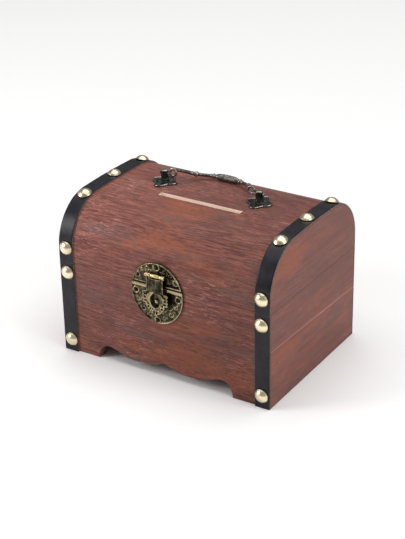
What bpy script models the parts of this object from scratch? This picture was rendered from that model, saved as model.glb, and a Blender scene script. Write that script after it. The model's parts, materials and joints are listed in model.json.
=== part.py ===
"""Small wooden money box: a chest with an arched lid, leather straps held by
brass studs, a coin slot, a bail handle on two brackets and a hasp latch.

Metres, +Z up, front towards -Y. The origin is on the surface that the box
stands on, at the centre of its footprint.
"""

import math

import bmesh
import bpy
from mathutils import Matrix, Vector

# Clearance between neighbouring pieces
GAP = 0.0003

# The wooden body
LENGTH = 0.180
DEPTH = 0.1275
PARTING_Z = 0.0755
END_THICKNESS = 0.009
WALL_THICKNESS = 0.008
LID_THICKNESS = 0.005
BOTTOM_THICKNESS = 0.004
BOTTOM_Z = 0.013
END_X = LENGTH / 2 - END_THICKNESS / 2
BOARD_LENGTH = LENGTH - 2 * (END_THICKNESS + GAP)

# The lid's arch: upright walls, round shoulders and a nearly flat crown
SHOULDER_Z = 0.0857
SHOULDER_RADIUS = 0.035
CROWN_RADIUS = 0.683
SHOULDER_Y = DEPTH / 2 - SHOULDER_RADIUS
CROWN_ANGLE = math.asin(SHOULDER_Y / (CROWN_RADIUS - SHOULDER_RADIUS))
CROWN_CENTRE_Z = SHOULDER_Z - (CROWN_RADIUS - SHOULDER_RADIUS) * math.cos(CROWN_ANGLE)
TOP_Z = CROWN_CENTRE_Z + CROWN_RADIUS
CROWN_LENGTH = CROWN_RADIUS * CROWN_ANGLE
SHOULDER_LENGTH = SHOULDER_RADIUS * (math.pi / 2 - CROWN_ANGLE)
UPRIGHT_LENGTH = SHOULDER_Z - (PARTING_Z + GAP / 2)

# The scalloped lower edge of the front and back panels
FOOT_INNER_X = 0.0585
ARCH_CORNER_X = 0.0500
APRON_TOP_Z = 0.0118
LOBE_X = 0.0215
LOBE_OUTER_X = 0.0280
LOBE_Z = 0.0062
CUSP_Z = 0.0110

# The coin slot
SLOT_LENGTH = 0.070
SLOT_WIDTH = 0.0048
SLOT_X = 0.0015
SLOT_Y = -0.0122

# Leather straps and the studs that hold them
STRAP_WIDTH = 0.0122
STRAP_THICKNESS = 0.00095
STRAP_OUTER = GAP + STRAP_THICKNESS
STRAP_X = LENGTH / 2 - STRAP_WIDTH / 2
STUD_X = 0.0833
STUD_RADIUS = 0.0054
STUD_HEIGHT = 0.0031
STUD_SHANK_RADIUS = 0.0008
STUD_SHANK_LENGTH = 0.0070
STUD_LOW_Z = 0.0098
STUD_HIGH_Z = 0.0665
LID_STUD_FRONT_Z = 0.0866
LID_STUD_SHOULDER_Y = 0.038

# The round latch plate, in an upper and a lower part
LATCH_X = -0.0032
LATCH_Z = 0.0692
LATCH_HALF_WIDTH = 0.0222
LATCH_HALF_HEIGHT = 0.0243
PLATE_THICKNESS = 0.0009
PLATE_FACE = GAP + PLATE_THICKNESS
POST_Z = 0.0630
POST_RADIUS = 0.0015
POST_END = 0.0029
LATCH_NAIL_RADIUS = 0.0016
LATCH_NAIL_HEIGHT = 0.0007
UPPER_NAILS = {"left": (-0.0163, 0.0813), "right": (0.0163, 0.0813), "top": (0.0, 0.0902)}
LOWER_NAILS = {"left": (-0.0182, 0.0683), "right": (0.0182, 0.0683), "bottom": (0.0, 0.0478)}

# The hasp that hangs from the upper plate
HASP_AXIS_Z = 0.0839
HASP_AXIS_OFFSET = 0.0029
HASP_AXIS = (LATCH_X, -DEPTH / 2 - HASP_AXIS_OFFSET, HASP_AXIS_Z)
HASP_KNUCKLE_RADIUS = 0.0014
HASP_THICKNESS = 0.0010
HASP_HALF_WIDTH = 0.0074
HASP_NECK_LENGTH = 0.0124
HASP_WING_HALF_WIDTH = 0.0113
HASP_WING_LENGTH = 0.0092
HASP_LENGTH = 0.0318
MIDDLE_KNUCKLE_HALF = 0.0035
HASP_PIN_LENGTH = 0.0164
PIN_RADIUS = 0.0006
PIN_BORE_RADIUS = 0.0009

# Hinges on the back
HINGE_X = 0.045
HINGE_HALF_WIDTH = 0.009
HINGE_HEIGHT = 0.0092
LEAF_THICKNESS = 0.0008
HINGE_RADIUS = 0.0016
HINGE_BORE_RADIUS = 0.0010
HINGE_PIN_RADIUS = 0.0007
HINGE_AXIS_Y = DEPTH / 2 + GAP + HINGE_RADIUS
HINGE_KNUCKLE_HALF = 0.0030
HINGE_NAIL_X = 0.0058
HINGE_NAIL_DROP = 0.0057
HINGE_NAIL_RADIUS = 0.0014
HINGE_NAIL_HEIGHT = 0.0005
NAIL_SHANK_RADIUS = 0.0005
NAIL_SHANK_LENGTH = 0.0045
NAIL_HOLE_RADIUS = 0.0008

# The handle: two brackets on the crown and the bail between them
HANDLE_X = -0.0012
HANDLE_Y = 0.008
BRACKET_X = 0.041
BRACKET_Z = TOP_Z + GAP
BRACKET_HALF_WIDTH = 0.0095
BRACKET_HALF_DEPTH = 0.0118
BRACKET_WAIST = 0.0068
BRACKET_THICKNESS = 0.0010
BRACKET_COLUMN_RADIUS = 0.0026
BRACKET_CAP_RADIUS = 0.0029
BRACKET_CAP_HEIGHT = 0.0012
BRACKET_HEIGHT = 0.0102
BAIL_AXIS = (HANDLE_X, HANDLE_Y, 0.1287)
BAIL_DROOP = math.radians(12.35)
BAIL_PIN_RADIUS = 0.0011
BAIL_PIN_START = 0.0355
BAIL_PIN_END = 0.0452
BAIL_BORE_RADIUS = 0.0015
BAIL_ROD_RADIUS = 0.0010
BAIL_BEAD_RADIUS = 0.0020
BAIL_GRIP_RADIUS = 0.0025
BAIL_RING_X = 0.0338
BAIL_RING_Y = 0.0006
BAIL_RING_Z = 0.0017
BAIL_RING_RADIUS = 0.0026
BAIL_RING_THICKNESS = 0.0011

# Frames for flat outlines: their third axis is the thickness
FRAME_YZ = Matrix(((0, 0, 1, 0), (1, 0, 0, 0), (0, 1, 0, 0), (0, 0, 0, 1)))
FRAME_XZ = Matrix(((1, 0, 0, 0), (0, 0, -1, 0), (0, 1, 0, 0), (0, 0, 0, 1)))
ALONG_X = Matrix.Rotation(math.pi / 2, 4, "Y")


# ---------------------------------------------------------------- scene tools


def clear_scene():
    for obj in list(bpy.data.objects):
        bpy.data.objects.remove(obj, do_unlink=True)


def new_collection(name):
    collection = bpy.data.collections.new(name)
    bpy.context.scene.collection.children.link(collection)
    return collection


def new_material(name, colour, roughness, metallic=0.0):
    material = bpy.data.materials.new(name)
    material.use_nodes = True
    shader = material.node_tree.nodes["Principled BSDF"]
    shader.inputs["Base Color"].default_value = (*colour, 1.0)
    shader.inputs["Roughness"].default_value = roughness
    shader.inputs["Metallic"].default_value = metallic
    return material


def at(x, y, z):
    return Matrix.Translation((x, y, z))


def along(point, direction):
    """A frame at point whose Z axis runs along direction."""
    turn = Vector(direction).to_track_quat("Z", "Y").to_matrix().to_4x4()
    return Matrix.Translation(point) @ turn


class Workshop:
    """Where the pieces and the cutters go, and what the pieces are made of."""

    def __init__(self):
        self.pieces = new_collection("wooden_money_box")
        self.cutters = new_collection("cutters")
        self.wood = new_material("stained_wood", (0.235, 0.075, 0.045), 0.5)
        self.raw_wood = new_material("raw_wood", (0.56, 0.40, 0.27), 0.7)
        self.leather = new_material("black_leather", (0.022, 0.025, 0.034), 0.45)
        self.stud_brass = new_material("pale_brass", (0.80, 0.66, 0.42), 0.25, 1.0)
        self.latch_brass = new_material("old_brass", (0.36, 0.29, 0.15), 0.4, 1.0)
        self.bronze = new_material("dark_bronze", (0.10, 0.10, 0.10), 0.4, 1.0)
        self.hinge_brass = new_material("hinge_brass", (0.62, 0.47, 0.22), 0.35, 1.0)

    def new_object(self, name, mesh, frame, collection=None):
        obj = bpy.data.objects.new(name, mesh)
        obj.matrix_world = frame
        (collection or self.pieces).objects.link(obj)
        return obj

    def hide_cutter(self, obj):
        """Moves a shape to the cutters, which aren't part of the box."""
        self.pieces.objects.unlink(obj)
        self.cutters.objects.link(obj)
        obj.hide_render = True
        obj.display_type = "WIRE"
        return obj

    def flat_outline(self, name, loops, thickness, frame):
        """A plate: the first loop is its outline and the others are its holes."""
        curve = bpy.data.curves.new(name, "CURVE")
        curve.dimensions = "2D"
        curve.fill_mode = "BOTH"
        curve.extrude = thickness / 2
        for loop in loops:
            spline = curve.splines.new("POLY")
            spline.points.add(len(loop) - 1)
            for point, (u, v) in zip(spline.points, loop):
                point.co = (u, v, 0, 1)
            spline.use_cyclic_u = True
        return self.curve_to_mesh(name, curve, frame)

    def round_wire(self, name, points, radii, frame):
        """A rod through the points, with its own radius at each of them."""
        curve = bpy.data.curves.new(name, "CURVE")
        curve.dimensions = "3D"
        curve.bevel_depth = 1.0
        curve.bevel_resolution = 2
        curve.use_fill_caps = True
        spline = curve.splines.new("POLY")
        spline.points.add(len(points) - 1)
        for target, point, radius in zip(spline.points, points, radii):
            target.co = (*point, 1)
            target.radius = radius
        return self.curve_to_mesh(name, curve, frame)

    def curve_to_mesh(self, name, curve, frame):
        source = self.new_object(name + "_curve", curve, frame)
        bpy.context.view_layer.update()
        graph = bpy.context.evaluated_depsgraph_get()
        mesh = bpy.data.meshes.new_from_object(source.evaluated_get(graph))
        weld = bmesh.new()
        weld.from_mesh(mesh)
        bmesh.ops.remove_doubles(weld, verts=weld.verts, dist=1e-6)
        bmesh.ops.recalc_face_normals(weld, faces=weld.faces)
        weld.to_mesh(mesh)
        weld.free()
        bpy.data.objects.remove(source, do_unlink=True)
        return self.new_object(name, mesh, frame)

    def box(self, name, size, frame):
        shape = bmesh.new()
        bmesh.ops.create_cube(shape, size=1.0, matrix=Matrix.Diagonal((*size, 1.0)))
        mesh = bpy.data.meshes.new(name)
        shape.to_mesh(mesh)
        shape.free()
        return self.new_object(name, mesh, frame)

    def rods(self, name, frames, radius, low, high, sides=12):
        """Round rods in one object, from low to high along each frame's Z axis."""
        shape = bmesh.new()
        for frame in frames:
            bmesh.ops.create_cone(
                shape,
                cap_ends=True,
                segments=sides,
                radius1=radius,
                radius2=radius,
                depth=high - low,
                matrix=frame @ at(0, 0, (low + high) / 2),
            )
        mesh = bpy.data.meshes.new(name)
        shape.to_mesh(mesh)
        shape.free()
        return self.new_object(name, mesh, Matrix.Identity(4))

    def turned(self, name, profile, steps, frame):
        """A turned piece: profile holds (radius, height) from its top to its tip."""
        mesh = bpy.data.meshes.new(name)
        edges = [(i, i + 1) for i in range(len(profile) - 1)]
        mesh.from_pydata([(radius, 0, height) for radius, height in profile], edges, [])
        obj = self.new_object(name, mesh, frame)
        screw = obj.modifiers.new("turn", "SCREW")
        screw.axis = "Z"
        screw.steps = steps
        screw.render_steps = steps
        screw.use_merge_vertices = True
        screw.merge_threshold = 0.00001
        screw.use_smooth_shade = True
        return obj

    def cut(self, obj, cutter):
        modifier = obj.modifiers.new(cutter.name, "BOOLEAN")
        modifier.operation = "DIFFERENCE"
        modifier.object = cutter

    def drill(self, name, frames, radius, low, high, targets):
        """Cuts round holes through every target."""
        cutter = self.hide_cutter(self.rods(name, frames, radius, low, high))
        for target in targets:
            self.cut(target, cutter)

    def join(self, obj, others):
        """Joins the others to obj as one solid."""
        for other in others:
            modifier = obj.modifiers.new("join", "BOOLEAN")
            modifier.operation = "UNION"
            modifier.object = other
        bpy.context.view_layer.update()
        graph = bpy.context.evaluated_depsgraph_get()
        mesh = bpy.data.meshes.new_from_object(obj.evaluated_get(graph))
        obj.modifiers.clear()
        obj.data = mesh
        for other in others:
            bpy.data.objects.remove(other, do_unlink=True)

    def finish(self, obj, material, pivot=None):
        """Gives a piece its material, and its pivot's place as its origin."""
        obj.data.materials.clear()
        obj.data.materials.append(material)
        obj.data.shade_smooth()
        obj.data.set_sharp_from_angle(angle=math.radians(35))
        if pivot is not None:
            obj.parent = pivot
            obj.matrix_parent_inverse = pivot.matrix_world.inverted()

    def pivot(self, name, place, parent=None):
        """An empty on a joint's axis, which the moving pieces follow."""
        empty = bpy.data.objects.new(name, None)
        empty.empty_display_size = 0.01
        empty.matrix_world = at(*place)
        self.pieces.objects.link(empty)
        if parent is not None:
            empty.parent = parent
            empty.matrix_parent_inverse = parent.matrix_world.inverted()
        bpy.context.view_layer.update()
        return empty


def dome(radius, height, count):
    """(radius, height) down a shallow cap, from its top to its rim."""
    sphere = (radius**2 + height**2) / (2 * height)
    rim = math.asin(radius / sphere)
    points = [(0.0, height)]
    for i in range(1, count):
        angle = rim * i / count
        points.append((sphere * math.sin(angle), sphere * math.cos(angle) - sphere + height))
    points.append((radius, 0.0))
    return points


def nail(radius, height, shank_radius, shank_length, count):
    """A domed head on a pointed shank, turned."""
    shoulder = shank_length - 2 * shank_radius
    shank = [(shank_radius, 0.0), (shank_radius, -shoulder), (0.0, -shank_length)]
    return dome(radius, height, count) + shank


# ------------------------------------------------------------- the arched lid


def arch_at(distance):
    """Point (y, z) and outward normal at a distance over the arch.

    The distance is 0 at the top of the crown and negative towards the front.
    """
    side = -1 if distance < 0 else 1
    reach = abs(distance)
    if reach < CROWN_LENGTH:
        angle = reach / CROWN_RADIUS
        y = CROWN_RADIUS * math.sin(angle)
        z = CROWN_CENTRE_Z + CROWN_RADIUS * math.cos(angle)
    elif reach < CROWN_LENGTH + SHOULDER_LENGTH:
        angle = CROWN_ANGLE + (reach - CROWN_LENGTH) / SHOULDER_RADIUS
        y = SHOULDER_Y + SHOULDER_RADIUS * math.sin(angle)
        z = SHOULDER_Z + SHOULDER_RADIUS * math.cos(angle)
    else:
        angle = math.pi / 2
        y = DEPTH / 2
        z = SHOULDER_Z - (reach - CROWN_LENGTH - SHOULDER_LENGTH)
    return Vector((side * y, z)), Vector((side * math.sin(angle), math.cos(angle)))


def arch_line(offset):
    """Points over the arch from front to back, moved outwards by offset."""
    half = [CROWN_LENGTH * i / 3 for i in range(1, 4)]
    half += [CROWN_LENGTH + SHOULDER_LENGTH * i / 12 for i in range(1, 13)]
    half.append(CROWN_LENGTH + SHOULDER_LENGTH + UPRIGHT_LENGTH)
    line = []
    for distance in [-d for d in reversed(half)] + [0.0] + half:
        point, normal = arch_at(distance)
        line.append(tuple(point + normal * offset))
    return line


def arch_band(outer, inner):
    """The outline between two lines over the arch."""
    return arch_line(outer) + arch_line(inner)[::-1]


# ------------------------------------------------------------------- the body


def apron_height(x):
    """Height of the panels' lower edge between the feet."""
    if x > ARCH_CORNER_X:
        run = (x - ARCH_CORNER_X) / (FOOT_INNER_X - ARCH_CORNER_X)
        return APRON_TOP_Z * math.sqrt(max(0.0, 1 - run**2))
    if x > LOBE_OUTER_X:
        run = (x - LOBE_OUTER_X) / (ARCH_CORNER_X - LOBE_OUTER_X)
        return LOBE_Z + (APRON_TOP_Z - LOBE_Z) * run * run * (3 - 2 * run)
    if x > LOBE_X:
        return LOBE_Z
    return LOBE_Z + (CUSP_Z - LOBE_Z) * (1 - x / LOBE_X) ** 2


def panel_outline():
    """A front or back panel: feet at both ends and the scalloped edge between."""
    half = BOARD_LENGTH / 2
    top = PARTING_Z - GAP / 2
    foot_run = FOOT_INNER_X - ARCH_CORNER_X
    ogee_run = ARCH_CORNER_X - LOBE_OUTER_X
    xs = [ARCH_CORNER_X + foot_run * math.sin(math.pi / 2 * i / 5) for i in range(5, 0, -1)]
    xs += [LOBE_OUTER_X + ogee_run * i / 7 for i in range(7, -1, -1)]
    xs += [LOBE_X * i / 5 for i in range(5, 0, -1)]
    right = [(x, apron_height(x)) for x in xs]
    left = [(-x, z) for x, z in right]
    return [(half, top), (half, 0), *right, (0, CUSP_Z), *left[::-1], (-half, 0), (-half, top)]


def make_base(shop):
    """The open box under the lid. Returns its pieces by name."""
    panel_y = DEPTH / 2 - WALL_THICKNESS / 2
    pieces = {}
    for name, y in (("front_panel", -panel_y), ("back_panel", panel_y)):
        outline = [panel_outline()]
        pieces[name] = shop.flat_outline(name, outline, WALL_THICKNESS, at(0, y, 0) @ FRAME_XZ)
    end_height = PARTING_Z - GAP / 2
    for side, sign in (("left", -1), ("right", 1)):
        name = f"{side}_end_panel"
        size = (END_THICKNESS, DEPTH, end_height)
        pieces[name] = shop.box(name, size, at(sign * END_X, 0, end_height / 2))
    size = (BOARD_LENGTH, DEPTH - 2 * (WALL_THICKNESS + GAP), BOTTOM_THICKNESS)
    centre = at(0, 0, BOTTOM_Z + BOTTOM_THICKNESS / 2)
    pieces["bottom_board"] = shop.box("bottom_board", size, centre)
    for piece in pieces.values():
        shop.finish(piece, shop.wood)
    return pieces


def make_lid(shop, pivot):
    """The bent board and the two ends that carry it. Returns them by name."""
    pieces = {}
    band = [arch_band(0, -LID_THICKNESS)]
    pieces["lid_board"] = shop.flat_outline("lid_board", band, BOARD_LENGTH, FRAME_YZ)
    size = (SLOT_LENGTH, SLOT_WIDTH, 4 * LID_THICKNESS)
    slot = shop.hide_cutter(shop.box("slot_cutter", size, at(SLOT_X, SLOT_Y, TOP_Z)))
    shop.cut(pieces["lid_board"], slot)
    for side, sign in (("left", -1), ("right", 1)):
        name = f"lid_{side}_end"
        frame = at(sign * END_X, 0, 0) @ FRAME_YZ
        pieces[name] = shop.flat_outline(name, [arch_line(0)], END_THICKNESS, frame)
    for piece in pieces.values():
        shop.finish(piece, shop.wood, pivot)
    return pieces


# --------------------------------------------------------- straps and studs


def lid_stud_frames(x):
    """Frames on a lid strap's face, from the front over to the back."""
    front_angle = math.acos((LID_STUD_FRONT_Z - SHOULDER_Z) / SHOULDER_RADIUS)
    shoulder_angle = math.asin((LID_STUD_SHOULDER_Y - SHOULDER_Y) / SHOULDER_RADIUS)
    front = CROWN_LENGTH + SHOULDER_RADIUS * (front_angle - CROWN_ANGLE)
    shoulder = CROWN_LENGTH + SHOULDER_RADIUS * (shoulder_angle - CROWN_ANGLE)
    distances = {
        "front": -front,
        "front_shoulder": -shoulder,
        "crown": 0.0,
        "back_shoulder": shoulder,
        "back": front,
    }
    frames = {}
    for name, distance in distances.items():
        point, normal = arch_at(distance)
        face = point + normal * (STRAP_OUTER + GAP)
        frames[name] = along((x, *face), (0, *normal))
    return frames


def base_stud_frames(x, sign):
    """Frames on an upright strap's face, low and high."""
    y = sign * (DEPTH / 2 + STRAP_OUTER + GAP)
    return {
        "low": along((x, y, STUD_LOW_Z), (0, sign, 0)),
        "high": along((x, y, STUD_HIGH_Z), (0, sign, 0)),
    }


def make_studs(shop, name, frames, targets, pivot=None):
    """Domed nails through a strap into the end board behind it."""
    profile = nail(STUD_RADIUS, STUD_HEIGHT, STUD_SHANK_RADIUS, STUD_SHANK_LENGTH, 5)
    for place, frame in frames.items():
        stud = shop.turned(f"{name}_{place}", profile, 18, frame)
        shop.finish(stud, shop.stud_brass, pivot)
    depth = STUD_SHANK_LENGTH + 2 * GAP
    hole = STUD_SHANK_RADIUS + GAP
    shop.drill(f"{name}_holes", frames.values(), hole, -depth, 0.001, targets)


def make_straps(shop, base, lid, pivot):
    band = [arch_band(STRAP_OUTER, GAP)]
    height = PARTING_Z - GAP / 2
    size = (STRAP_WIDTH, STRAP_THICKNESS, height)
    for side, sign in (("left", -1), ("right", 1)):
        x = sign * STRAP_X
        strap = shop.flat_outline(f"lid_strap_{side}", band, STRAP_WIDTH, at(x, 0, 0) @ FRAME_YZ)
        shop.finish(strap, shop.leather, pivot)
        frames = lid_stud_frames(sign * STUD_X)
        make_studs(shop, f"lid_stud_{side}", frames, [strap, lid[f"lid_{side}_end"]], pivot)
        for face, facing in (("front", -1), ("back", 1)):
            y = facing * (DEPTH / 2 + GAP + STRAP_THICKNESS / 2)
            strap = shop.box(f"base_strap_{face}_{side}", size, at(x, y, height / 2))
            shop.finish(strap, shop.leather)
            frames = base_stud_frames(sign * STUD_X, facing)
            targets = [strap, base[f"{side}_end_panel"]]
            make_studs(shop, f"base_stud_{face}_{side}", frames, targets)


# ------------------------------------------------------------------ the latch


def latch_outline(low, high):
    """The part of the latch's oval between two angles."""
    points = []
    for i in range(19):
        angle = low + (high - low) * i / 18
        x = LATCH_HALF_WIDTH * math.cos(angle)
        points.append((LATCH_X + x, LATCH_Z + LATCH_HALF_HEIGHT * math.sin(angle)))
    return points


def hasp_outline():
    """The hasp's edge, and its keyhole, about its own axis."""
    notch_x = MIDDLE_KNUCKLE_HALF + GAP
    notch_z = -(HASP_KNUCKLE_RADIUS + 2 * GAP)
    wing_z = -HASP_NECK_LENGTH
    right = [(notch_x, notch_z), (notch_x, 0), (HASP_HALF_WIDTH, 0), (HASP_HALF_WIDTH, wing_z)]
    scallops = 3
    for i in range(4 * scallops + 1):
        bulge = 0.0009 * abs(math.sin(math.pi * i / 4))
        z = wing_z - 0.0006 - HASP_WING_LENGTH * i / (4 * scallops)
        right.append((HASP_WING_HALF_WIDTH - 0.0009 + bulge, z))
    tail_top = wing_z - HASP_WING_LENGTH - 0.0012
    tail_length = HASP_LENGTH + tail_top
    for i in range(9):
        run = i / 9
        width = 0.0080 * math.cos(math.pi / 2 * run) ** 0.8 + 0.0007 * math.sin(3 * math.pi * run)
        right.append((width, tail_top - tail_length * run))
    edge = right + [(0, -HASP_LENGTH)] + [(-x, z) for x, z in reversed(right)]
    keyhole = []
    for i in range(20):
        angle = 2 * math.pi * i / 20
        z = -0.0190 + 0.0058 * math.sin(angle)
        width = 0.0041 if math.sin(angle) < 0.3 else 0.0041 - 0.0018 * (math.sin(angle) - 0.3)
        keyhole.append((width * math.cos(angle), z))
    return [edge, keyhole]


def latch_frames(nails):
    y = -DEPTH / 2 - PLATE_FACE - GAP
    return {name: along((LATCH_X + x, y, z), (0, -1, 0)) for name, (x, z) in nails.items()}


def make_latch_nails(shop, part, frames, targets, pivot=None):
    profile = nail(LATCH_NAIL_RADIUS, LATCH_NAIL_HEIGHT, NAIL_SHANK_RADIUS, NAIL_SHANK_LENGTH, 3)
    for place, frame in frames.items():
        piece = shop.turned(f"latch_{part}_nail_{place}", profile, 12, frame)
        shop.finish(piece, shop.latch_brass, pivot)
    depth = NAIL_SHANK_LENGTH + 2 * GAP
    name = f"latch_{part}_nail_holes"
    shop.drill(name, frames.values(), NAIL_HOLE_RADIUS, -depth, 0.001, targets)


def make_latch(shop, front_panel, lid_board, lid_pivot):
    """The two plates, their nails, the post, the hasp and the hasp's pin."""
    plate_frame = at(0, -DEPTH / 2 - GAP - PLATE_THICKNESS / 2, 0) @ FRAME_XZ
    upper_angle = math.asin((PARTING_Z + GAP - LATCH_Z) / LATCH_HALF_HEIGHT)
    lower_angle = math.asin((PARTING_Z - GAP - LATCH_Z) / LATCH_HALF_HEIGHT)
    upper_outline = latch_outline(upper_angle, math.pi - upper_angle)
    lower_outline = latch_outline(math.pi - lower_angle, 2 * math.pi + lower_angle)
    upper = shop.flat_outline("latch_upper_plate", [upper_outline], PLATE_THICKNESS, plate_frame)
    lower = shop.flat_outline("latch_lower_plate", [lower_outline], PLATE_THICKNESS, plate_frame)

    axis = at(*HASP_AXIS) @ ALONG_X
    half = MIDDLE_KNUCKLE_HALF
    knuckle = shop.rods("knuckle", [axis], HASP_KNUCKLE_RADIUS, -half, half, 16)
    web_size = (2 * half, 0.0014, HASP_KNUCKLE_RADIUS)
    web = shop.box("web", web_size, at(LATCH_X, -DEPTH / 2 - PLATE_FACE - 0.0003, HASP_AXIS_Z))
    shop.join(upper, [knuckle, web])
    shop.drill("hasp_bore", [axis], PIN_BORE_RADIUS, -0.02, 0.02, [upper])
    shop.finish(upper, shop.latch_brass, lid_pivot)
    shop.finish(lower, shop.latch_brass)
    make_latch_nails(shop, "upper", latch_frames(UPPER_NAILS), [upper, lid_board], lid_pivot)
    make_latch_nails(shop, "lower", latch_frames(LOWER_NAILS), [lower, front_panel])

    pin = shop.rods("hasp_pin", [axis], PIN_RADIUS, -HASP_PIN_LENGTH / 2, HASP_PIN_LENGTH / 2)
    shop.finish(pin, shop.latch_brass, lid_pivot)

    post_frame = along((LATCH_X, -DEPTH / 2 - PLATE_FACE - GAP, POST_Z), (0, -1, 0))
    post_height = POST_END - PLATE_FACE - GAP
    post_profile = [(0, post_height), (POST_RADIUS * 0.7, post_height)]
    post_profile += [(POST_RADIUS, post_height - POST_RADIUS * 0.3), (POST_RADIUS, 0)]
    post_profile += [(NAIL_SHANK_RADIUS, 0), (NAIL_SHANK_RADIUS, -NAIL_SHANK_LENGTH)]
    post_profile += [(0, -NAIL_SHANK_LENGTH)]
    post = shop.turned("latch_post", post_profile, 12, post_frame)
    shop.finish(post, shop.latch_brass)
    depth = NAIL_SHANK_LENGTH + 2 * GAP
    targets = [lower, front_panel]
    shop.drill("latch_post_hole", [post_frame], NAIL_HOLE_RADIUS, -depth, 0.0005, targets)

    hasp_pivot = shop.pivot("hasp_axis", HASP_AXIS, lid_pivot)
    face = HASP_KNUCKLE_RADIUS - HASP_THICKNESS / 2
    frame = at(*HASP_AXIS) @ at(0, -face, 0) @ FRAME_XZ
    hasp = shop.flat_outline("hasp", hasp_outline(), HASP_THICKNESS, frame)
    inner = MIDDLE_KNUCKLE_HALF + GAP
    spans = [(-HASP_HALF_WIDTH, -inner), (inner, HASP_HALF_WIDTH)]
    radius = HASP_KNUCKLE_RADIUS
    shop.join(hasp, [shop.rods("knuckle", [axis], radius, low, high, 16) for low, high in spans])
    shop.drill("hasp_pin_bore", [axis], PIN_BORE_RADIUS, -0.02, 0.02, [hasp])
    shop.finish(hasp, shop.latch_brass, hasp_pivot)


# ----------------------------------------------------------------- the hinges


def make_leaf(shop, name, x, up, knuckles):
    """One hinge leaf, with the knuckles that it carries and room for the others."""
    y = DEPTH / 2 + GAP + LEAF_THICKNESS / 2
    size = (2 * HINGE_HALF_WIDTH, LEAF_THICKNESS, HINGE_HEIGHT)
    leaf = shop.box(name, size, at(x, y, PARTING_Z + up * HINGE_HEIGHT / 2))
    axis = at(x, HINGE_AXIS_Y, PARTING_Z) @ ALONG_X
    own = [shop.rods("knuckle", [axis], HINGE_RADIUS, low, high, 16) for low, high in knuckles]
    shop.join(leaf, own)
    shop.drill(f"{name}_bore", [axis], HINGE_BORE_RADIUS, -0.02, 0.02, [leaf])
    return leaf


def make_hinge(shop, side, x, base_board, lid_board, lid_pivot):
    """Two leaves and the pin, with two nails in each leaf."""
    half = HINGE_HALF_WIDTH
    middle = HINGE_KNUCKLE_HALF
    outer = middle + GAP
    base_knuckles = [(-half, -outer), (outer, half)]
    base_leaf = make_leaf(shop, f"hinge_{side}_base_leaf", x, -1, base_knuckles)
    lid_leaf = make_leaf(shop, f"hinge_{side}_lid_leaf", x, 1, [(-middle, middle)])

    room = HINGE_RADIUS + GAP
    notch_size = (2 * outer, 4 * room, 2 * room)
    notch = shop.box(f"hinge_{side}_middle_notch", notch_size, at(x, HINGE_AXIS_Y, PARTING_Z))
    shop.cut(base_leaf, shop.hide_cutter(notch))
    length = half - middle + GAP
    for end, sign in (("left", -1), ("right", 1)):
        centre = at(x + sign * (middle + length / 2), HINGE_AXIS_Y, PARTING_Z)
        notch = shop.box(f"hinge_{side}_{end}_notch", (length, 4 * room, 2 * room), centre)
        shop.cut(lid_leaf, shop.hide_cutter(notch))
    shop.finish(base_leaf, shop.hinge_brass)
    shop.finish(lid_leaf, shop.hinge_brass, lid_pivot)

    axis = at(x, HINGE_AXIS_Y, PARTING_Z) @ ALONG_X
    reach = HINGE_HALF_WIDTH + 0.0003
    pin = shop.rods(f"hinge_{side}_pin", [axis], HINGE_PIN_RADIUS, -reach, reach)
    shop.finish(pin, shop.hinge_brass)

    profile = nail(HINGE_NAIL_RADIUS, HINGE_NAIL_HEIGHT, NAIL_SHANK_RADIUS, NAIL_SHANK_LENGTH, 3)
    y = DEPTH / 2 + GAP + LEAF_THICKNESS + GAP
    for part, up, leaf, board, pivot in (
        ("base", -1, base_leaf, base_board, None),
        ("lid", 1, lid_leaf, lid_board, lid_pivot),
    ):
        z = PARTING_Z + up * HINGE_NAIL_DROP
        frames = {
            "left": along((x - HINGE_NAIL_X, y, z), (0, 1, 0)),
            "right": along((x + HINGE_NAIL_X, y, z), (0, 1, 0)),
        }
        for place, frame in frames.items():
            piece = shop.turned(f"hinge_{side}_{part}_nail_{place}", profile, 12, frame)
            shop.finish(piece, shop.hinge_brass, pivot)
        depth = NAIL_SHANK_LENGTH + 2 * GAP
        name = f"hinge_{side}_{part}_nail_holes"
        shop.drill(name, frames.values(), NAIL_HOLE_RADIUS, -depth, 0.001, [leaf, board])


# ----------------------------------------------------------------- the handle


def bracket_outline():
    """A four-pointed leaf, longer from front to back."""
    points = []
    for i in range(32):
        angle = 2 * math.pi * i / 32
        across = math.cos(angle)
        along_y = math.sin(angle)
        reach = BRACKET_WAIST
        reach += (BRACKET_HALF_WIDTH - BRACKET_WAIST) * across**6
        reach += (BRACKET_HALF_DEPTH - BRACKET_WAIST) * along_y**6
        points.append((reach * across, reach * along_y))
    return points


def make_bracket(shop, side, sign, lid_pivot):
    """A cast bracket: leaf-shaped foot, column and cap, bored for the bail."""
    x = HANDLE_X + sign * BRACKET_X
    foot_frame = at(x, HANDLE_Y, BRACKET_Z + BRACKET_THICKNESS / 2)
    name = f"handle_bracket_{side}"
    bracket = shop.flat_outline(name, [bracket_outline()], BRACKET_THICKNESS, foot_frame)
    cap_z = BRACKET_HEIGHT - BRACKET_CAP_HEIGHT
    profile = [(0, BRACKET_HEIGHT), (BRACKET_CAP_RADIUS * 0.7, BRACKET_HEIGHT)]
    profile += [(BRACKET_CAP_RADIUS, BRACKET_HEIGHT - 0.0005), (BRACKET_CAP_RADIUS, cap_z)]
    profile += [(BRACKET_COLUMN_RADIUS, cap_z - 0.0003)]
    profile += [(BRACKET_COLUMN_RADIUS, BRACKET_THICKNESS / 2), (0, BRACKET_THICKNESS / 2)]
    shop.join(bracket, [shop.turned("column", profile, 16, at(x, HANDLE_Y, BRACKET_Z))])
    bore = at(x, HANDLE_Y, BAIL_AXIS[2]) @ ALONG_X
    shop.drill(f"{name}_bore", [bore], BAIL_BORE_RADIUS, -0.01, 0.01, [bracket])
    shop.finish(bracket, shop.bronze, lid_pivot)


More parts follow.
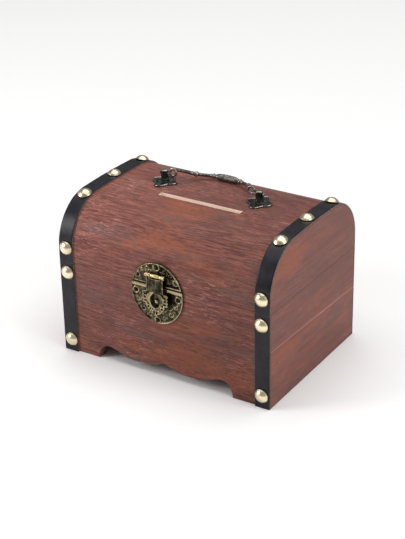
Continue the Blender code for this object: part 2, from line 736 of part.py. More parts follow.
def bail_route():
    """(distance out, reach, rise, radius) along half of the bail, ring to middle."""
    rod = BAIL_ROD_RADIUS
    bead = BAIL_BEAD_RADIUS
    grip = BAIL_GRIP_RADIUS
    return [
        (0.0321, 0.0006, 0.0033, 0.0009),
        (0.0305, 0.0040, 0.0034, rod),
        (0.0280, 0.0085, 0.0022, rod),
        (0.0252, 0.0128, 0.0010, rod),
        (0.0240, 0.0144, 0.0006, 0.8 * bead),
        (0.0228, 0.0158, 0.0004, bead),
        (0.0216, 0.0171, 0.0002, 0.8 * bead),
        (0.0200, 0.0186, 0.0, rod),
        (0.0165, 0.0209, 0.0, rod),
        (0.0136, 0.0223, 0.0, 1.1 * rod),
        (0.0126, 0.0227, 0.0, 0.9 * bead),
        (0.0116, 0.0231, 0.0, bead),
        (0.0106, 0.0234, 0.0, 0.9 * bead),
        (0.0096, 0.0237, 0.0, 0.6 * grip),
        (0.0075, 0.0242, 0.0, 0.85 * grip),
        (0.0045, 0.0246, 0.0, grip),
        (0.0015, 0.0248, 0.0, grip),
    ]


def make_bail(shop, lid_pivot):
    """The bail: a rod with beads and a thick grip, a ring at each end and two pins."""
    pivot = shop.pivot("bail_axis", BAIL_AXIS, lid_pivot)
    points = []
    radii = []
    for out, reach, rise, radius in bail_route():
        y = reach * math.cos(BAIL_DROOP) + rise * math.sin(BAIL_DROOP)
        z = rise * math.cos(BAIL_DROOP) - reach * math.sin(BAIL_DROOP)
        points.append((out, y, z))
        radii.append(radius)
    points += [(-x, y, z) for x, y, z in reversed(points)]
    radii += radii[::-1]
    frame = at(*BAIL_AXIS)
    bail = shop.round_wire("handle_bail", points, radii, frame)
    others = []
    for sign in (-1, 1):
        centre = at(sign * BAIL_RING_X, BAIL_RING_Y, BAIL_RING_Z)
        profile = []
        for i in range(9):
            angle = math.pi / 2 - 2 * math.pi * i / 8
            u = BAIL_RING_RADIUS + BAIL_RING_THICKNESS * math.cos(angle)
            profile.append((u, BAIL_RING_THICKNESS * math.sin(angle)))
        ring_frame = frame @ centre @ Matrix.Rotation(math.pi / 2, 4, "X")
        others.append(shop.turned("ring", profile, 20, ring_frame))
        pin_frame = frame @ ALONG_X
        start, end = sorted((sign * BAIL_PIN_START, sign * BAIL_PIN_END))
        others.append(shop.rods("pin", [pin_frame], BAIL_PIN_RADIUS, start, end))
    shop.join(bail, others)
    shop.finish(bail, shop.bronze, pivot)


def main():
    clear_scene()
    shop = Workshop()
    lid_pivot = shop.pivot("lid_axis", (0, HINGE_AXIS_Y, PARTING_Z))
    base = make_base(shop)
    lid = make_lid(shop, lid_pivot)
    make_straps(shop, base, lid, lid_pivot)
    make_latch(shop, base["front_panel"], lid["lid_board"], lid_pivot)
    for side, sign in (("left", -1), ("right", 1)):
        x = sign * HINGE_X
        make_hinge(shop, side, x, base["back_panel"], lid["lid_board"], lid_pivot)
        make_bracket(shop, side, sign, lid_pivot)
    make_bail(shop, lid_pivot)


main()
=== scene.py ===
"""The looks of the wooden money box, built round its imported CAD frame.

Metres, +Z up, front towards -Y. Every piece is made where it stands at rest
and rides on the CAD body that it belongs to.
"""

import json
from math import asin, cos, exp, hypot, pi, radians, sin, sqrt

import bmesh
import bpy
import numpy as np
from mathutils import Matrix, Vector, geometry, noise


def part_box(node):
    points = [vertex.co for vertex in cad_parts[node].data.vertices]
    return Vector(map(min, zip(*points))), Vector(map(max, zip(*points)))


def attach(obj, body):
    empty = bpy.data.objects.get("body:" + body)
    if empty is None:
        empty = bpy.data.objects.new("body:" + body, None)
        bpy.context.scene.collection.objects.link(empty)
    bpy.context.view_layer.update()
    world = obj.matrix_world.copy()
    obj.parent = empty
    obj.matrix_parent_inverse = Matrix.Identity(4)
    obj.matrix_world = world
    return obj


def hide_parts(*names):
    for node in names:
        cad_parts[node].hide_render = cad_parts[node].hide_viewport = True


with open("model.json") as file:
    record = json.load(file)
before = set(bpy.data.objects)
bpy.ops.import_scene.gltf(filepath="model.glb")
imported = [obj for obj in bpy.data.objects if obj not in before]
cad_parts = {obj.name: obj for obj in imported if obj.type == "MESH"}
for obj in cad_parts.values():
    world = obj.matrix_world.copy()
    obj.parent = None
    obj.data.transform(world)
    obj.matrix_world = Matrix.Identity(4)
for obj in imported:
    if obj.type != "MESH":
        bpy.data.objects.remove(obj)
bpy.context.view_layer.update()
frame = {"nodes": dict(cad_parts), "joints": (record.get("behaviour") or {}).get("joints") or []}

MM = 0.001

# ------------------------------------------------------------ measures of the frame

lid_low, lid_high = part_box("lid_board")
end_low, end_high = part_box("right_end_panel")
HALF_DEPTH = lid_high.y
TOP_Z = lid_high.z
LID_BOTTOM = lid_low.z
BASE_TOP = end_high.z
PARTING_Z = (LID_BOTTOM + BASE_TOP) / 2
BOARD_HALF_LENGTH = lid_high.x
HALF_LENGTH = end_high.x
GAP = end_low.x - lid_high.x

SEAM_HALF = 0.08 * MM
SHOULDER_RADIUS = 35 * MM
CROWN_RADIUS = 683 * MM
LID_THICKNESS = 5 * MM
WALL_THICKNESS = 8 * MM

SLOT_LENGTH = 70 * MM
SLOT_WIDTH = 4.8 * MM
SLOT_X = 1.5 * MM
SLOT_Y = -12.2 * MM

STRAP_WIDTH = 12.2 * MM
STRAP_THICKNESS = 0.95 * MM
STRAP_OUTER = GAP + STRAP_THICKNESS
STRAP_X = HALF_LENGTH - STRAP_WIDTH / 2
STUD_RADIUS = 5.4 * MM
STUD_HEIGHT = 3.1 * MM

SIDES = (("left", -1), ("right", 1))
WELD = 1e-7

SHOULDER_Y = HALF_DEPTH - SHOULDER_RADIUS
CROWN_ANGLE = asin(SHOULDER_Y / (CROWN_RADIUS - SHOULDER_RADIUS))
CROWN_CENTRE_Z = TOP_Z - CROWN_RADIUS
SHOULDER_Z = CROWN_CENTRE_Z + (CROWN_RADIUS - SHOULDER_RADIUS) * cos(CROWN_ANGLE)
CROWN_LENGTH = CROWN_RADIUS * CROWN_ANGLE
SHOULDER_LENGTH = SHOULDER_RADIUS * (pi / 2 - CROWN_ANGLE)

# ------------------------------------------------------------------ node materials


class Shader:
    """A material's node tree, with short ways to add to it."""

    def __init__(self, name, **sockets):
        self.material = bpy.data.materials.new(name)
        self.material.use_nodes = True
        self.tree = self.material.node_tree
        self.bsdf = self.tree.nodes["Principled BSDF"]
        for socket, value in sockets.items():
            self.bsdf.inputs[socket.replace("_", " ")].default_value = value

    def feed(self, value, socket):
        if isinstance(value, (int, float, tuple)):
            socket.default_value = value
        else:
            self.tree.links.new(value, socket)

    def node(self, kind, inputs=None, **settings):
        """A new node, with a value or a link for each of the sockets named in inputs."""
        made = self.tree.nodes.new("ShaderNode" + kind)
        for key, value in settings.items():
            setattr(made, key, value)
        for socket, value in (inputs or {}).items():
            self.feed(value, made.inputs[socket])
        return made

    def place(self, scale=(1, 1, 1), offset=(0, 0, 0)):
        """Object coordinates, scaled by axis."""
        source = self.node("TexCoord").outputs["Object"]
        inputs = {"Scale": scale, "Location": offset, "Vector": source}
        return self.node("Mapping", inputs).outputs["Vector"]

    def noise(self, vector, scale, detail=3.0, roughness=0.5, distortion=0.0):
        inputs = {"Vector": vector, "Scale": scale, "Detail": detail, "Roughness": roughness,
                  "Distortion": distortion}
        return self.node("TexNoise", inputs).outputs["Fac"]

    def ramp(self, value, low, high, out_low=0.0, out_high=1.0):
        inputs = {"Value": value, "From Min": low, "From Max": high, "To Min": out_low,
                  "To Max": out_high}
        made = self.node("MapRange", inputs, interpolation_type="SMOOTHSTEP")
        return made.outputs["Result"]

    def maths(self, operation, a, b=0.0):
        return self.node("Math", {0: a, 1: b}, operation=operation).outputs[0]

    def vectors(self, operation, inputs):
        return self.node("VectorMath", inputs, operation=operation).outputs[0]

    def mix(self, factor, a, b):
        inputs = {"Factor": factor, "A": a, "B": b}
        return self.node("Mix", inputs, data_type="RGBA").outputs["Result"]

    def bump(self, height, distance, strength=1.0):
        inputs = {"Strength": strength, "Distance": distance, "Height": height}
        self.set("Normal", self.node("Bump", inputs).outputs["Normal"])

    def set(self, socket, value):
        self.feed(value, self.bsdf.inputs[socket])


def colour(red, green, blue):
    """A colour as linear light, from the usual 0 to 255 numbers."""
    parts = []
    for part in (red, green, blue):
        part /= 255
        parts.append(part / 12.92 if part <= 0.04045 else ((part + 0.055) / 1.055) ** 2.4)
    return (*parts, 1.0)


def stained_wood(name, grain, seed=0.0, left=1.0, right=1.0, low=1.0, grey=0.5, contrast=1.0,
                 rippled=1.0):
    """Red-brown stained wood whose grain runs along the axis named by grain. left, right and low say
    how much darker it is painted at those sides and at the bottom: a darker tone, and painted shade
    where the light falls off across the front; grey how far it turns grey; contrast and rippled how
    strong the streaks and the pale ripples are."""

    def drawn_out(share):
        return (share, 1, 1) if grain == "x" else (1, share, 1)

    long = drawn_out(0.06 if grain == "x" else 0.04)
    short, slow = drawn_out(0.14), drawn_out(0.35)
    seeds = (seed, seed, seed)
    shader = Shader(name, IOR=1.45, Specular_IOR_Level=0.2)
    wander = shader.node("TexNoise", {"Vector": shader.place(slow, seeds), "Scale": 30, "Detail": 3})
    across = shader.vectors("SCALE", {0: wander.outputs["Color"], "Scale": 8 * MM})
    bent = shader.vectors("ADD", {0: shader.place(), 1: across})

    def fibres(stretch, *settings):
        moved = shader.vectors("MULTIPLY_ADD", {0: bent, 1: stretch, 2: seeds})
        return shader.noise(moved, *settings)

    streaks = fibres(long, 900, 5, 0.66, 0.4)
    bands = fibres(long, 210, 3, 0.5)
    ripples = fibres(short, 860, 3, 0.6, 1.2)
    pores = fibres(short, 1500, 2, 0.6)
    patches = shader.noise(shader.place(slow, (seed + 4.9, 0, 0)), 36, 3, 0.55)
    greys = shader.noise(shader.place(slow, (0, seed + 7.1, 0)), 62, 3, 0.6)
    clusters = shader.noise(shader.place(slow, (0, 0, seed + 5.2)), 46, 2, 0.5)

    shown = shader.ramp(streaks, 0.36, 0.66, 0.5 - contrast / 2, 0.5 + contrast / 2)
    body = shader.mix(shown, colour(101, 58, 52), colour(160, 102, 89))
    body = shader.mix(shader.ramp(bands, 0.36, 0.64, 0.0, 0.45), body, colour(112, 67, 62))
    body = shader.mix(shader.ramp(patches, 0.5, 0.68, 0.0, 0.6), body, colour(164, 92, 64))
    body = shader.mix(shader.ramp(greys, 0.48, 0.7, 0.0, grey), body, colour(111, 86, 84))
    clustered = shader.ramp(clusters, 0.44, 0.62, 0.1 * rippled, 0.7 * rippled)
    light = shader.maths("MULTIPLY", shader.ramp(ripples, 0.52, 0.68), clustered)
    body = shader.mix(light, body, colour(196, 134, 120))
    body = shader.mix(shader.ramp(pores, 0.54, 0.7, 0.0, 0.6 * contrast), body, colour(72, 42, 40))
    place = shader.node("SeparateXYZ", {0: shader.place()})
    # Painted shade: darker towards the sides and the bottom, as left, right and low say.
    sideways = shader.ramp(place.outputs["X"], -0.07, 0.06, left, right)
    upright = shader.ramp(place.outputs["Z"], 0.03, 0.09, low, 1.0)
    tone_and_painted_shade = shader.maths("MULTIPLY", sideways, upright)
    body = shader.mix(tone_and_painted_shade, (0.0, 0.0, 0.0, 1.0), body)
    if grain == "y":
        # A pale line of straight grain crosses the end, lower towards the back.
        level = shader.maths("MULTIPLY", place.outputs["Y"], 0.037)
        level = shader.maths("ADD", shader.maths("ADD", place.outputs["Z"], level), -43.7 * MM)
        level = shader.maths("ADD", level, shader.ramp(bands, 0.3, 0.7, -0.5 * MM, 0.5 * MM))
        line = shader.ramp(shader.maths("ABSOLUTE", level), 0.1 * MM, 0.9 * MM, 0.4, 0.0)
        body = shader.mix(line, body, colour(196, 140, 126))
    shader.set("Base Color", body)
    shader.set("Roughness", shader.ramp(streaks, 0.3, 0.7, 0.36, 0.52))
    relief = shader.maths("SUBTRACT", streaks, shader.maths("MULTIPLY", pores, 0.5))
    shader.bump(relief, 0.1 * MM, 0.6)
    return shader.material


def speckled(name, roughness, scale, detail, dark, pale, bump, strength, stretch=(1, 1, 1)):
    """A rough material that wanders between two colours."""
    shader = Shader(name, Roughness=roughness)
    spots = shader.noise(shader.place(stretch), scale, detail)
    shader.set("Base Color", shader.mix(shader.ramp(spots, 0.3, 0.7), colour(*dark), colour(*pale)))
    shader.bump(spots, bump, strength)
    return shader.material


def strap_leather():
    """Smooth black leather with a fine grain, a little blue."""
    shader = Shader("black_leather", IOR=1.5, Specular_IOR_Level=0.3)
    pebbles = shader.node("TexVoronoi", {"Vector": shader.place(), "Scale": 2200}, feature="F1")
    clouds = shader.noise(shader.place(), 120, 3)
    fine = shader.noise(shader.place(), 1400, 3)
    cloudy = shader.ramp(clouds, 0.3, 0.7)
    shader.set("Base Color", shader.mix(cloudy, colour(9, 9, 16), colour(25, 24, 33)))
    shader.set("Roughness", shader.ramp(fine, 0.3, 0.7, 0.28, 0.42))
    shader.bump(shader.maths("ADD", pebbles.outputs["Distance"], fine), 0.05 * MM, 0.35)
    return shader.material


def aged_metal(name, recess_and_shade, worn, bright, smooth, rough, dents, dent_scale):
    """Metal that is dark and dull where its point attribute is 0, worn where it is nearly 1 and bright
    where it is more. That attribute holds rubbing and hollows, and painted shade in places."""
    recess_and_shade, worn, bright = colour(*recess_and_shade), colour(*worn), colour(*bright)
    shader = Shader(name, Metallic=1.0)
    wear_and_painted_shade = shader.node("Attribute", attribute_name="wear_and_painted_shade").outputs["Fac"]
    cloud = shader.noise(shader.place(), 420, 4, 0.65)
    grain = shader.noise(shader.place(), 2600, 3, 0.6)
    rubbed_and_shaded = shader.maths("ADD", wear_and_painted_shade, shader.ramp(cloud, 0.25, 0.75, -0.22, 0.22))
    rubbed_and_shaded = shader.maths("POWER", shader.ramp(rubbed_and_shaded, 0.05, 0.95), 1.3)
    stained = shader.noise(shader.place(), 160, 3, 0.6)
    dark = (*(0.72 * part for part in worn[:3]), 1.0)
    top = shader.mix(shader.ramp(stained, 0.42, 0.62), worn, dark)
    body = shader.mix(rubbed_and_shaded, recess_and_shade, top)
    shader.set("Base Color", shader.mix(shader.ramp(wear_and_painted_shade, 0.95, 1.2), body, bright))
    dull = shader.ramp(rubbed_and_shaded, 0.0, 1.0, rough, smooth)
    shader.set("Roughness", shader.maths("ADD", dull, shader.ramp(grain, 0.3, 0.7, -0.05, 0.06)))
    shader.bump(shader.noise(shader.place(), dent_scale, 2, 0.4), dents, 0.6)
    return shader.material


# The front is painted darker to the right and at the bottom: painted shade where the light falls off
# across it.
WOOD_X = stained_wood("stained_wood_along", "x", right=0.77, low=0.8)
WOOD_BACK = stained_wood("stained_wood_back", "x", seed=0.37, left=0.9, right=0.9, low=0.9)
WOOD_Y = stained_wood("stained_wood_end", "y", seed=0.81, left=0.8, right=0.8, grey=0.2,
                      contrast=0.55, rippled=0.35)
# Wood darker along its edges; bare wood where the slot was cut, painted paler to stand in for the light
# on the slot's far wall; and a strap's cut side.
EDGE = speckled("dark_wood_edge", 0.5, 500, 3, (52, 33, 31), (86, 55, 48), 0.1 * MM, 0.4)
RAW_PAINTED_LIT = speckled("raw_wood", 0.75, 900, 4, (250, 212, 194), (255, 236, 224), 0.1 * MM, 0.5, (0.08, 1, 1))
CUT = speckled("cut_leather_edge", 0.7, 1200, 4, (92, 84, 84), (150, 136, 130), 0.08 * MM, 0.5)
LEATHER = strap_leather()
METAL_LOOKS = {
    # slot: colours for hollows and painted shade, for worn and for bright places; smooth and rough;
    # depth and scale of dents
    "pale_brass": ((146, 116, 76), (246, 230, 196), (250, 236, 206), 0.28, 0.42, 0.08 * MM, 300),
    "old_brass": ((22, 18, 16), (170, 155, 122), (204, 184, 132), 0.28, 0.55, 0.1 * MM, 900),
    "dark_bronze": ((40, 43, 42), (160, 153, 146), (200, 188, 172), 0.26, 0.5, 0.08 * MM, 900),
    "hinge_brass": ((110, 84, 44), (214, 180, 112), (230, 200, 132), 0.24, 0.45, 0.06 * MM, 600),
}
METALS = {slot: aged_metal(slot, *look) for slot, look in METAL_LOOKS.items()}

# ------------------------------------------------------------------- making pieces


def add_object(name, data):
    obj = bpy.data.objects.new(name, data)
    bpy.context.scene.collection.objects.link(obj)
    return obj


def piece(node, kind, shape, materials, body, wear_and_painted_shade=None, sharp=35, bevel=0.0,
          bevel_material=-1):
    """Makes a shape the piece NODE_KIND, in place of that CAD node. How far each point is rubbed
    bright, with painted shade in places, is given as one number, one for each point, or a function of
    its place."""
    bmesh.ops.remove_doubles(shape, verts=shape.verts, dist=WELD)
    bmesh.ops.recalc_face_normals(shape, faces=shape.faces)
    mesh = bpy.data.meshes.new(f"{node}_{kind}")
    shape.to_mesh(mesh)
    shape.free()
    if wear_and_painted_shade is not None:
        if callable(wear_and_painted_shade):
            wear_and_painted_shade = [wear_and_painted_shade(v.co) for v in mesh.vertices]
        elif isinstance(wear_and_painted_shade, (int, float)):
            wear_and_painted_shade = [wear_and_painted_shade] * len(mesh.vertices)
        layer = mesh.attributes.new("wear_and_painted_shade", "FLOAT", "POINT")
        layer.data.foreach_set("value", np.asarray(wear_and_painted_shade, np.float32))
    obj = add_object(mesh.name, mesh)
    for material in materials:
        mesh.materials.append(material)
    mesh.shade_smooth()
    mesh.set_sharp_from_angle(angle=radians(sharp))
    if bevel:
        rounded = obj.modifiers.new("rounded_edges", "BEVEL")
        rounded.width = bevel
        rounded.segments = 3
        rounded.limit_method = "WEIGHT" if mesh.attributes.get("bevel_weight_edge") else "ANGLE"
        rounded.angle_limit = radians(40)
        rounded.harden_normals = True
        rounded.material = bevel_material
        rounded.miter_outer = "MITER_ARC"
    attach(obj, body)
    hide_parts(node)


def metal_piece(node, kind, shape, wear_and_painted_shade, slot, body, sharp=50, bevel=0.0):
    piece(node, kind, shape, [METALS[slot]], body, wear_and_painted_shade, sharp, bevel)


def middle(node):
    low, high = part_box(node)
    return (low + high) / 2


def along_x(centre, sign=1):
    """The matrix that lays a turned solid along the X axis."""
    return Matrix.Translation(centre) @ Matrix.Rotation(sign * pi / 2, 4, "Y")


def in_mm(pairs):
    return [(a * MM, b * MM) for a, b in pairs]


def prism(outline, near, far, place):
    """A closed solid: outline (u, v) from near to far, put in space by place(u, v, w)."""
    shape = bmesh.new()
    ends = []
    for w in (near, far):
        ends.append([shape.verts.new(place(u, v, w)) for u, v in outline])
    shape.faces.new(ends[0])
    shape.faces.new(ends[1][::-1])
    count = len(outline)
    for i in range(count):
        j = (i + 1) % count
        shape.faces.new((ends[0][i], ends[1][i], ends[1][j], ends[0][j]))
    return shape


def loft(shape, rings, edges=()):
    """Joins each ring of points to the next. The stretches numbered in edges take
    material 1."""
    for ring, after in zip(rings, rings[1:]):
        for i in range(len(ring)):
            j = (i + 1) % len(ring)
            face = shape.faces.new((ring[i], ring[j], after[j], after[i]))
            face.material_index = 1 if i in edges else 0


def around(count):
    """Evenly spaced angles round a circle."""
    return [2 * pi * i / count for i in range(count)]


def weigh_edges(shape, weight):
    """Sets each edge's bevel weight to weight(a, b, angle) of its two ends."""
    layer = shape.edges.layers.float.get("bevel_weight_edge")
    if layer is None:
        layer = shape.edges.layers.float.new("bevel_weight_edge")
    for edge in shape.edges:
        angle = edge.calc_face_angle(0.0)
        edge[layer] = weight(edge.verts[0].co, edge.verts[1].co, angle)


# ----------------------------------------------------------------- the arched lid


def arch_at(distance, offset=0.0):
    """(y, z) at a distance over the arch from its top, moved outwards by offset."""
    side = -1 if distance < 0 else 1
    reach = abs(distance)
    drop = 0.0
    if reach < CROWN_LENGTH:
        angle = reach / CROWN_RADIUS
        y, z = CROWN_RADIUS * sin(angle), CROWN_CENTRE_Z + CROWN_RADIUS * cos(angle)
    else:
        turned = min((reach - CROWN_LENGTH) / SHOULDER_RADIUS, pi / 2 - CROWN_ANGLE)
        angle = CROWN_ANGLE + turned
        drop = max(0.0, reach - CROWN_LENGTH - SHOULDER_LENGTH)
        y = SHOULDER_Y + SHOULDER_RADIUS * sin(angle)
        z = SHOULDER_Z + SHOULDER_RADIUS * cos(angle) - drop
    return side * (y + offset * sin(angle)), z + offset * cos(angle)


def arch_steps(bottom, crown=8, shoulder=28, upright=3):
    """Distances over the arch from front to back."""
    half = [CROWN_LENGTH * i / crown for i in range(1, crown + 1)]
    half += [CROWN_LENGTH + SHOULDER_LENGTH * i / shoulder for i in range(1, shoulder + 1)]
    rest = SHOULDER_Z - bottom
    half += [CROWN_LENGTH + SHOULDER_LENGTH + rest * i / upright for i in range(1, upright + 1)]
    return [-d for d in reversed(half)] + [0.0] + half


def make_lid_board():
    """The bent board with the coin slot cut through it."""
    slot_x = (SLOT_X - SLOT_LENGTH / 2, SLOT_X + SLOT_LENGTH / 2)
    slot_y = (SLOT_Y - SLOT_WIDTH / 2, SLOT_Y + SLOT_WIDTH / 2)
    slot_d = tuple(CROWN_RADIUS * asin(y / CROWN_RADIUS) for y in slot_y)
    bottom = PARTING_Z + SEAM_HALF
    steps = sorted(set(arch_steps(bottom)) | set(slot_d))
    steps = [d for d in steps if d in slot_d or min(abs(d - s) for s in slot_d) > 1.2 * MM]
    columns = [-BOARD_HALF_LENGTH + 2 * BOARD_HALF_LENGTH * i / 16 for i in range(17)]
    columns = [x for x in columns if min(abs(x - s) for s in slot_x) > 2 * MM]
    columns = sorted(columns + list(slot_x))
    shape = bmesh.new()
    skins = []
    for offset in (0.0, -LID_THICKNESS):
        skin = {}
        for i, x in enumerate(columns):
            for j, distance in enumerate(steps):
                # The slot's far wall leans back, as its saw cut does.
                lean = 0.9 * MM if offset and abs(distance - slot_d[1]) < 1e-9 else 0.0
                skin[i, j] = shape.verts.new((x, *arch_at(distance - lean, offset)))
        skins.append(skin)

    def open_cell(i, j):
        if not (0 <= i < len(columns) - 1 and 0 <= j < len(steps) - 1):
            return True
        x = (columns[i] + columns[i + 1]) / 2
        distance = (steps[j] + steps[j + 1]) / 2
        return slot_x[0] < x < slot_x[1] and slot_d[0] < distance < slot_d[1]

    outer, inner = skins
    for i in range(len(columns) - 1):
        for j in range(len(steps) - 1):
            if open_cell(i, j):
                continue
            corners = [(i, j), (i + 1, j), (i + 1, j + 1), (i, j + 1)]
            shape.faces.new([outer[c] for c in corners])
            shape.faces.new([inner[c] for c in reversed(corners)])
            beside = [(i, j - 1), (i + 1, j), (i, j + 1), (i - 1, j)]
            for k, neighbour in enumerate(beside):
                if open_cell(*neighbour):
                    a, b = corners[k], corners[(k + 1) % 4]
                    wall = shape.faces.new((outer[b], outer[a], inner[a], inner[b]))
                    middle = wall.calc_center_median()
                    inside = abs(middle.x) < BOARD_HALF_LENGTH - MM and middle.z > TOP_Z - 9 * MM
                    # The slot's walls take the bare wood, painted paler as if lit.
                    wall.material_index = 2 if inside else 0
    weigh_edges(shape, lambda a, b, angle: 1.0 if angle > radians(40) else 0.0)
    piece("lid_board", "wood", shape, [WOOD_X, EDGE, RAW_PAINTED_LIT], "lid", bevel=0.2 * MM)


def make_ends(naming, outline, body, weight, bevel, bevel_material):
    for side, sign in SIDES:
        inner, outer = sign * (BOARD_HALF_LENGTH + GAP), sign * HALF_LENGTH
        shape = prism(outline, inner, outer, lambda u, v, w: (w, u, v))
        weigh_edges(shape, weight)
        piece(naming.format(side), "wood", shape, [WOOD_Y, EDGE], body,
              bevel=bevel, bevel_material=bevel_material)


def make_lid_ends():
    bottom = PARTING_Z + SEAM_HALF

    def weight(a, b, angle):
        if angle < radians(40):
            return 0.0
        return 0.35 if max(a.z, b.z) < bottom + 0.1 * MM else 1.0

    outline = [arch_at(d) for d in arch_steps(bottom)]
    make_ends("lid_{}_end", outline, "lid", weight, 0.35 * MM, -1)


def make_end_panels():
    top = PARTING_Z - SEAM_HALF

    def weight(a, b, angle):
        return 0.25 if min(a.z, b.z) > top - MM else 1.0

    outline = [(-HALF_DEPTH, 0.0), (HALF_DEPTH, 0.0), (HALF_DEPTH, top), (-HALF_DEPTH, top)]
    make_ends("{}_end_panel", outline, "base", weight, 0.5 * MM, 1)


# ----------------------------------------------------- front and back panels

FOOT_INNER_X = 58.5 * MM
ARCH_CORNER_X = 50.0 * MM
APRON_TOP_Z = 11.8 * MM
LOBE_X = 21.5 * MM
LOBE_OUTER_X = 28.0 * MM
LOBE_Z = 6.2 * MM
CUSP_Z = 11.0 * MM


def apron_height(x):
    if x > ARCH_CORNER_X:
        run = (x - ARCH_CORNER_X) / (FOOT_INNER_X - ARCH_CORNER_X)
        return APRON_TOP_Z * sqrt(max(0.0, 1 - run**2))
    if x > LOBE_OUTER_X:
        run = (x - LOBE_OUTER_X) / (ARCH_CORNER_X - LOBE_OUTER_X)
        return LOBE_Z + (APRON_TOP_Z - LOBE_Z) * run * run * (3 - 2 * run)
    if x > LOBE_X:
        return LOBE_Z
    return LOBE_Z + (CUSP_Z - LOBE_Z) * (1 - x / LOBE_X) ** 2


def panel_outline(top):
    foot_run = FOOT_INNER_X - ARCH_CORNER_X
    xs = [ARCH_CORNER_X + foot_run * sin(pi / 2 * i / 12) for i in range(12, 0, -1)]
    ogee_run = ARCH_CORNER_X - LOBE_OUTER_X
    xs += [LOBE_OUTER_X + ogee_run * i / 16 for i in range(16, -1, -1)]
    xs += [LOBE_X * i / 14 for i in range(14, 0, -1)]
    right = [(x, apron_height(x)) for x in xs]
    left = [(-x, z) for x, z in right[::-1]]
    half = BOARD_HALF_LENGTH
    return [(half, top), (half, 0.0), *right, (0.0, CUSP_Z), *left, (-half, 0.0), (-half, top)]


def make_panels():
    top = PARTING_Z - SEAM_HALF
    for side, sign, wood in (("front", -1, WOOD_X), ("back", 1, WOOD_BACK)):
        near = sign * HALF_DEPTH
        far = sign * (HALF_DEPTH - WALL_THICKNESS)
        shape = prism(panel_outline(top), near, far, lambda u, v, w: (u, w, v))

        def weight(a, b, angle):
            if min(a.z, b.z) > top - MM:
                return 0.2
            if a.z == b.z == 0.0 or max(a.z, b.z) < 12 * MM:
                return 1.0 if abs(a.y - b.y) < MM else 0.0
            return 0.0

        weigh_edges(shape, weight)
        piece(f"{side}_panel", "wood", shape, [wood, EDGE], "base",
              bevel=0.6 * MM, bevel_material=1)


# ------------------------------------------------------------- straps and studs


def strap_section():
    """(across, off): round the strap's section, from one lower edge to the other."""
    half = STRAP_WIDTH / 2
    soft = 0.38 * MM
    corner = []
    for i in range(5):
        angle = pi / 2 * i / 4
        corner.append((half - soft * (1 - cos(angle)), STRAP_OUTER - soft * (1 - sin(angle))))
    top = [(-half + soft + (STRAP_WIDTH - 2 * soft) * i / 12, STRAP_OUTER) for i in range(1, 12)]
    foot = half - 0.05 * MM
    left = [(-across, off) for across, off in corner]
    return [(-foot, GAP), *left, *top, *corner[::-1], (foot, GAP)]


def make_strap(node, x, stations, body):
    """A strap lofted through stations, each (place, outward) on the wood's face. It is
    pressed in round each stud and swells a little further out."""
    section = strap_section()
    seats = [seat for _, seat, _ in strap_studs(node)]
    shape = bmesh.new()
    rings = []
    for point, outward in stations:
        ring = []
        for across, off in section:
            place = Vector((x + across, 0, 0)) + point + outward * off
            if off > GAP:
                near = min((place - seat).length for seat in seats)
                press = exp(-(((near - 5.6 * MM) / (1.6 * MM)) ** 2))
                swell = exp(-(((near - 9.5 * MM) / (2.2 * MM)) ** 2))
                wave = noise.noise(place * 160) * 0.05 * MM
                place += outward * (wave + 0.06 * MM * swell - 0.16 * MM * press)
            ring.append(shape.verts.new(place))
        rings.append(ring)
    loft(shape, rings, (0, len(section) - 2, len(section) - 1))
    for ring in (rings[0], rings[-1]):
        shape.faces.new(ring).material_index = 1
    piece(node, "leather", shape, [LEATHER, CUT], body, sharp=50)


def make_straps():
    lid_bottom = PARTING_Z + SEAM_HALF + 0.12 * MM
    base_top = PARTING_Z - SEAM_HALF - 0.12 * MM
    for side, sign in SIDES:
        x = sign * STRAP_X
        stations = []
        for distance in arch_steps(lid_bottom, 24, 44, 8):
            y, z = arch_at(distance)
            outer_y, outer_z = arch_at(distance, 1.0)
            outward = Vector((0, outer_y - y, outer_z - z)).normalized()
            stations.append((Vector((0, y, z)), outward))
        make_strap(f"lid_strap_{side}", x, stations, "lid")
        for face, facing in (("front", -1), ("back", 1)):
            levels = [base_top * i / 44 for i in range(45)]
            stations = [(Vector((0, facing * HALF_DEPTH, z)), Vector((0, facing, 0))) for z in levels]
            make_strap(f"base_strap_{face}_{side}", x, stations, "base")


def strap_studs(strap):
    """(node, place on the strap, outward) of each stud of a strap."""
    spots = ("low", "high")
    if strap.startswith("lid"):
        spots = ("front", "front_shoulder", "crown", "back_shoulder", "back")
    nodes = [f"{strap.replace('strap', 'stud')}_{spot}" for spot in spots]
    return [(node, *stud_seat(node)) for node in nodes]


def stud_seat(node):
    """Where a stud's head lies and which way it faces. The tip of its shank is the point
    nearest to the middle of the box, and the top of its head is the furthest from that."""
    points = [v.co.copy() for v in frame["nodes"][node].data.vertices]
    tip = min(points, key=lambda p: p.y**2 + (p.z - 60 * MM) ** 2)
    crown = max(points, key=lambda p: (p - tip).length)
    outward = (crown - tip).normalized()
    return tip + outward * ((crown - tip).length - STUD_HEIGHT), outward


def turned(profile, steps, place, wobble=None, shape=None):
    """A turned solid: profile is (radius, height) from its top down to its axis again,
    and place a matrix. It is added to shape, if there is one."""
    if shape is None:
        shape = bmesh.new()
    rings = []
    for radius, height in profile:
        if radius < WELD:
            rings.append([shape.verts.new(place @ Vector((0, 0, height)))])
            continue
        ring = []
        for angle in around(steps):
            r, h = (radius, height) if wobble is None else wobble(radius, height, angle)
            ring.append(shape.verts.new(place @ Vector((r * cos(angle), r * sin(angle), h))))
        rings.append(ring)
    for upper, lower in zip(rings, rings[1:]):
        for i in range(steps):
            j = (i + 1) % steps
            if len(upper) == 1:
                shape.faces.new((upper[0], lower[i], lower[j]))
            elif len(lower) == 1:
                shape.faces.new((upper[i], lower[0], upper[j]))
            else:
                shape.faces.new((upper[i], lower[i], lower[j], upper[j]))
    return shape


def facing(point, direction):
    return Matrix.Translation(point) @ direction.to_track_quat("Z", "Y").to_matrix().to_4x4()


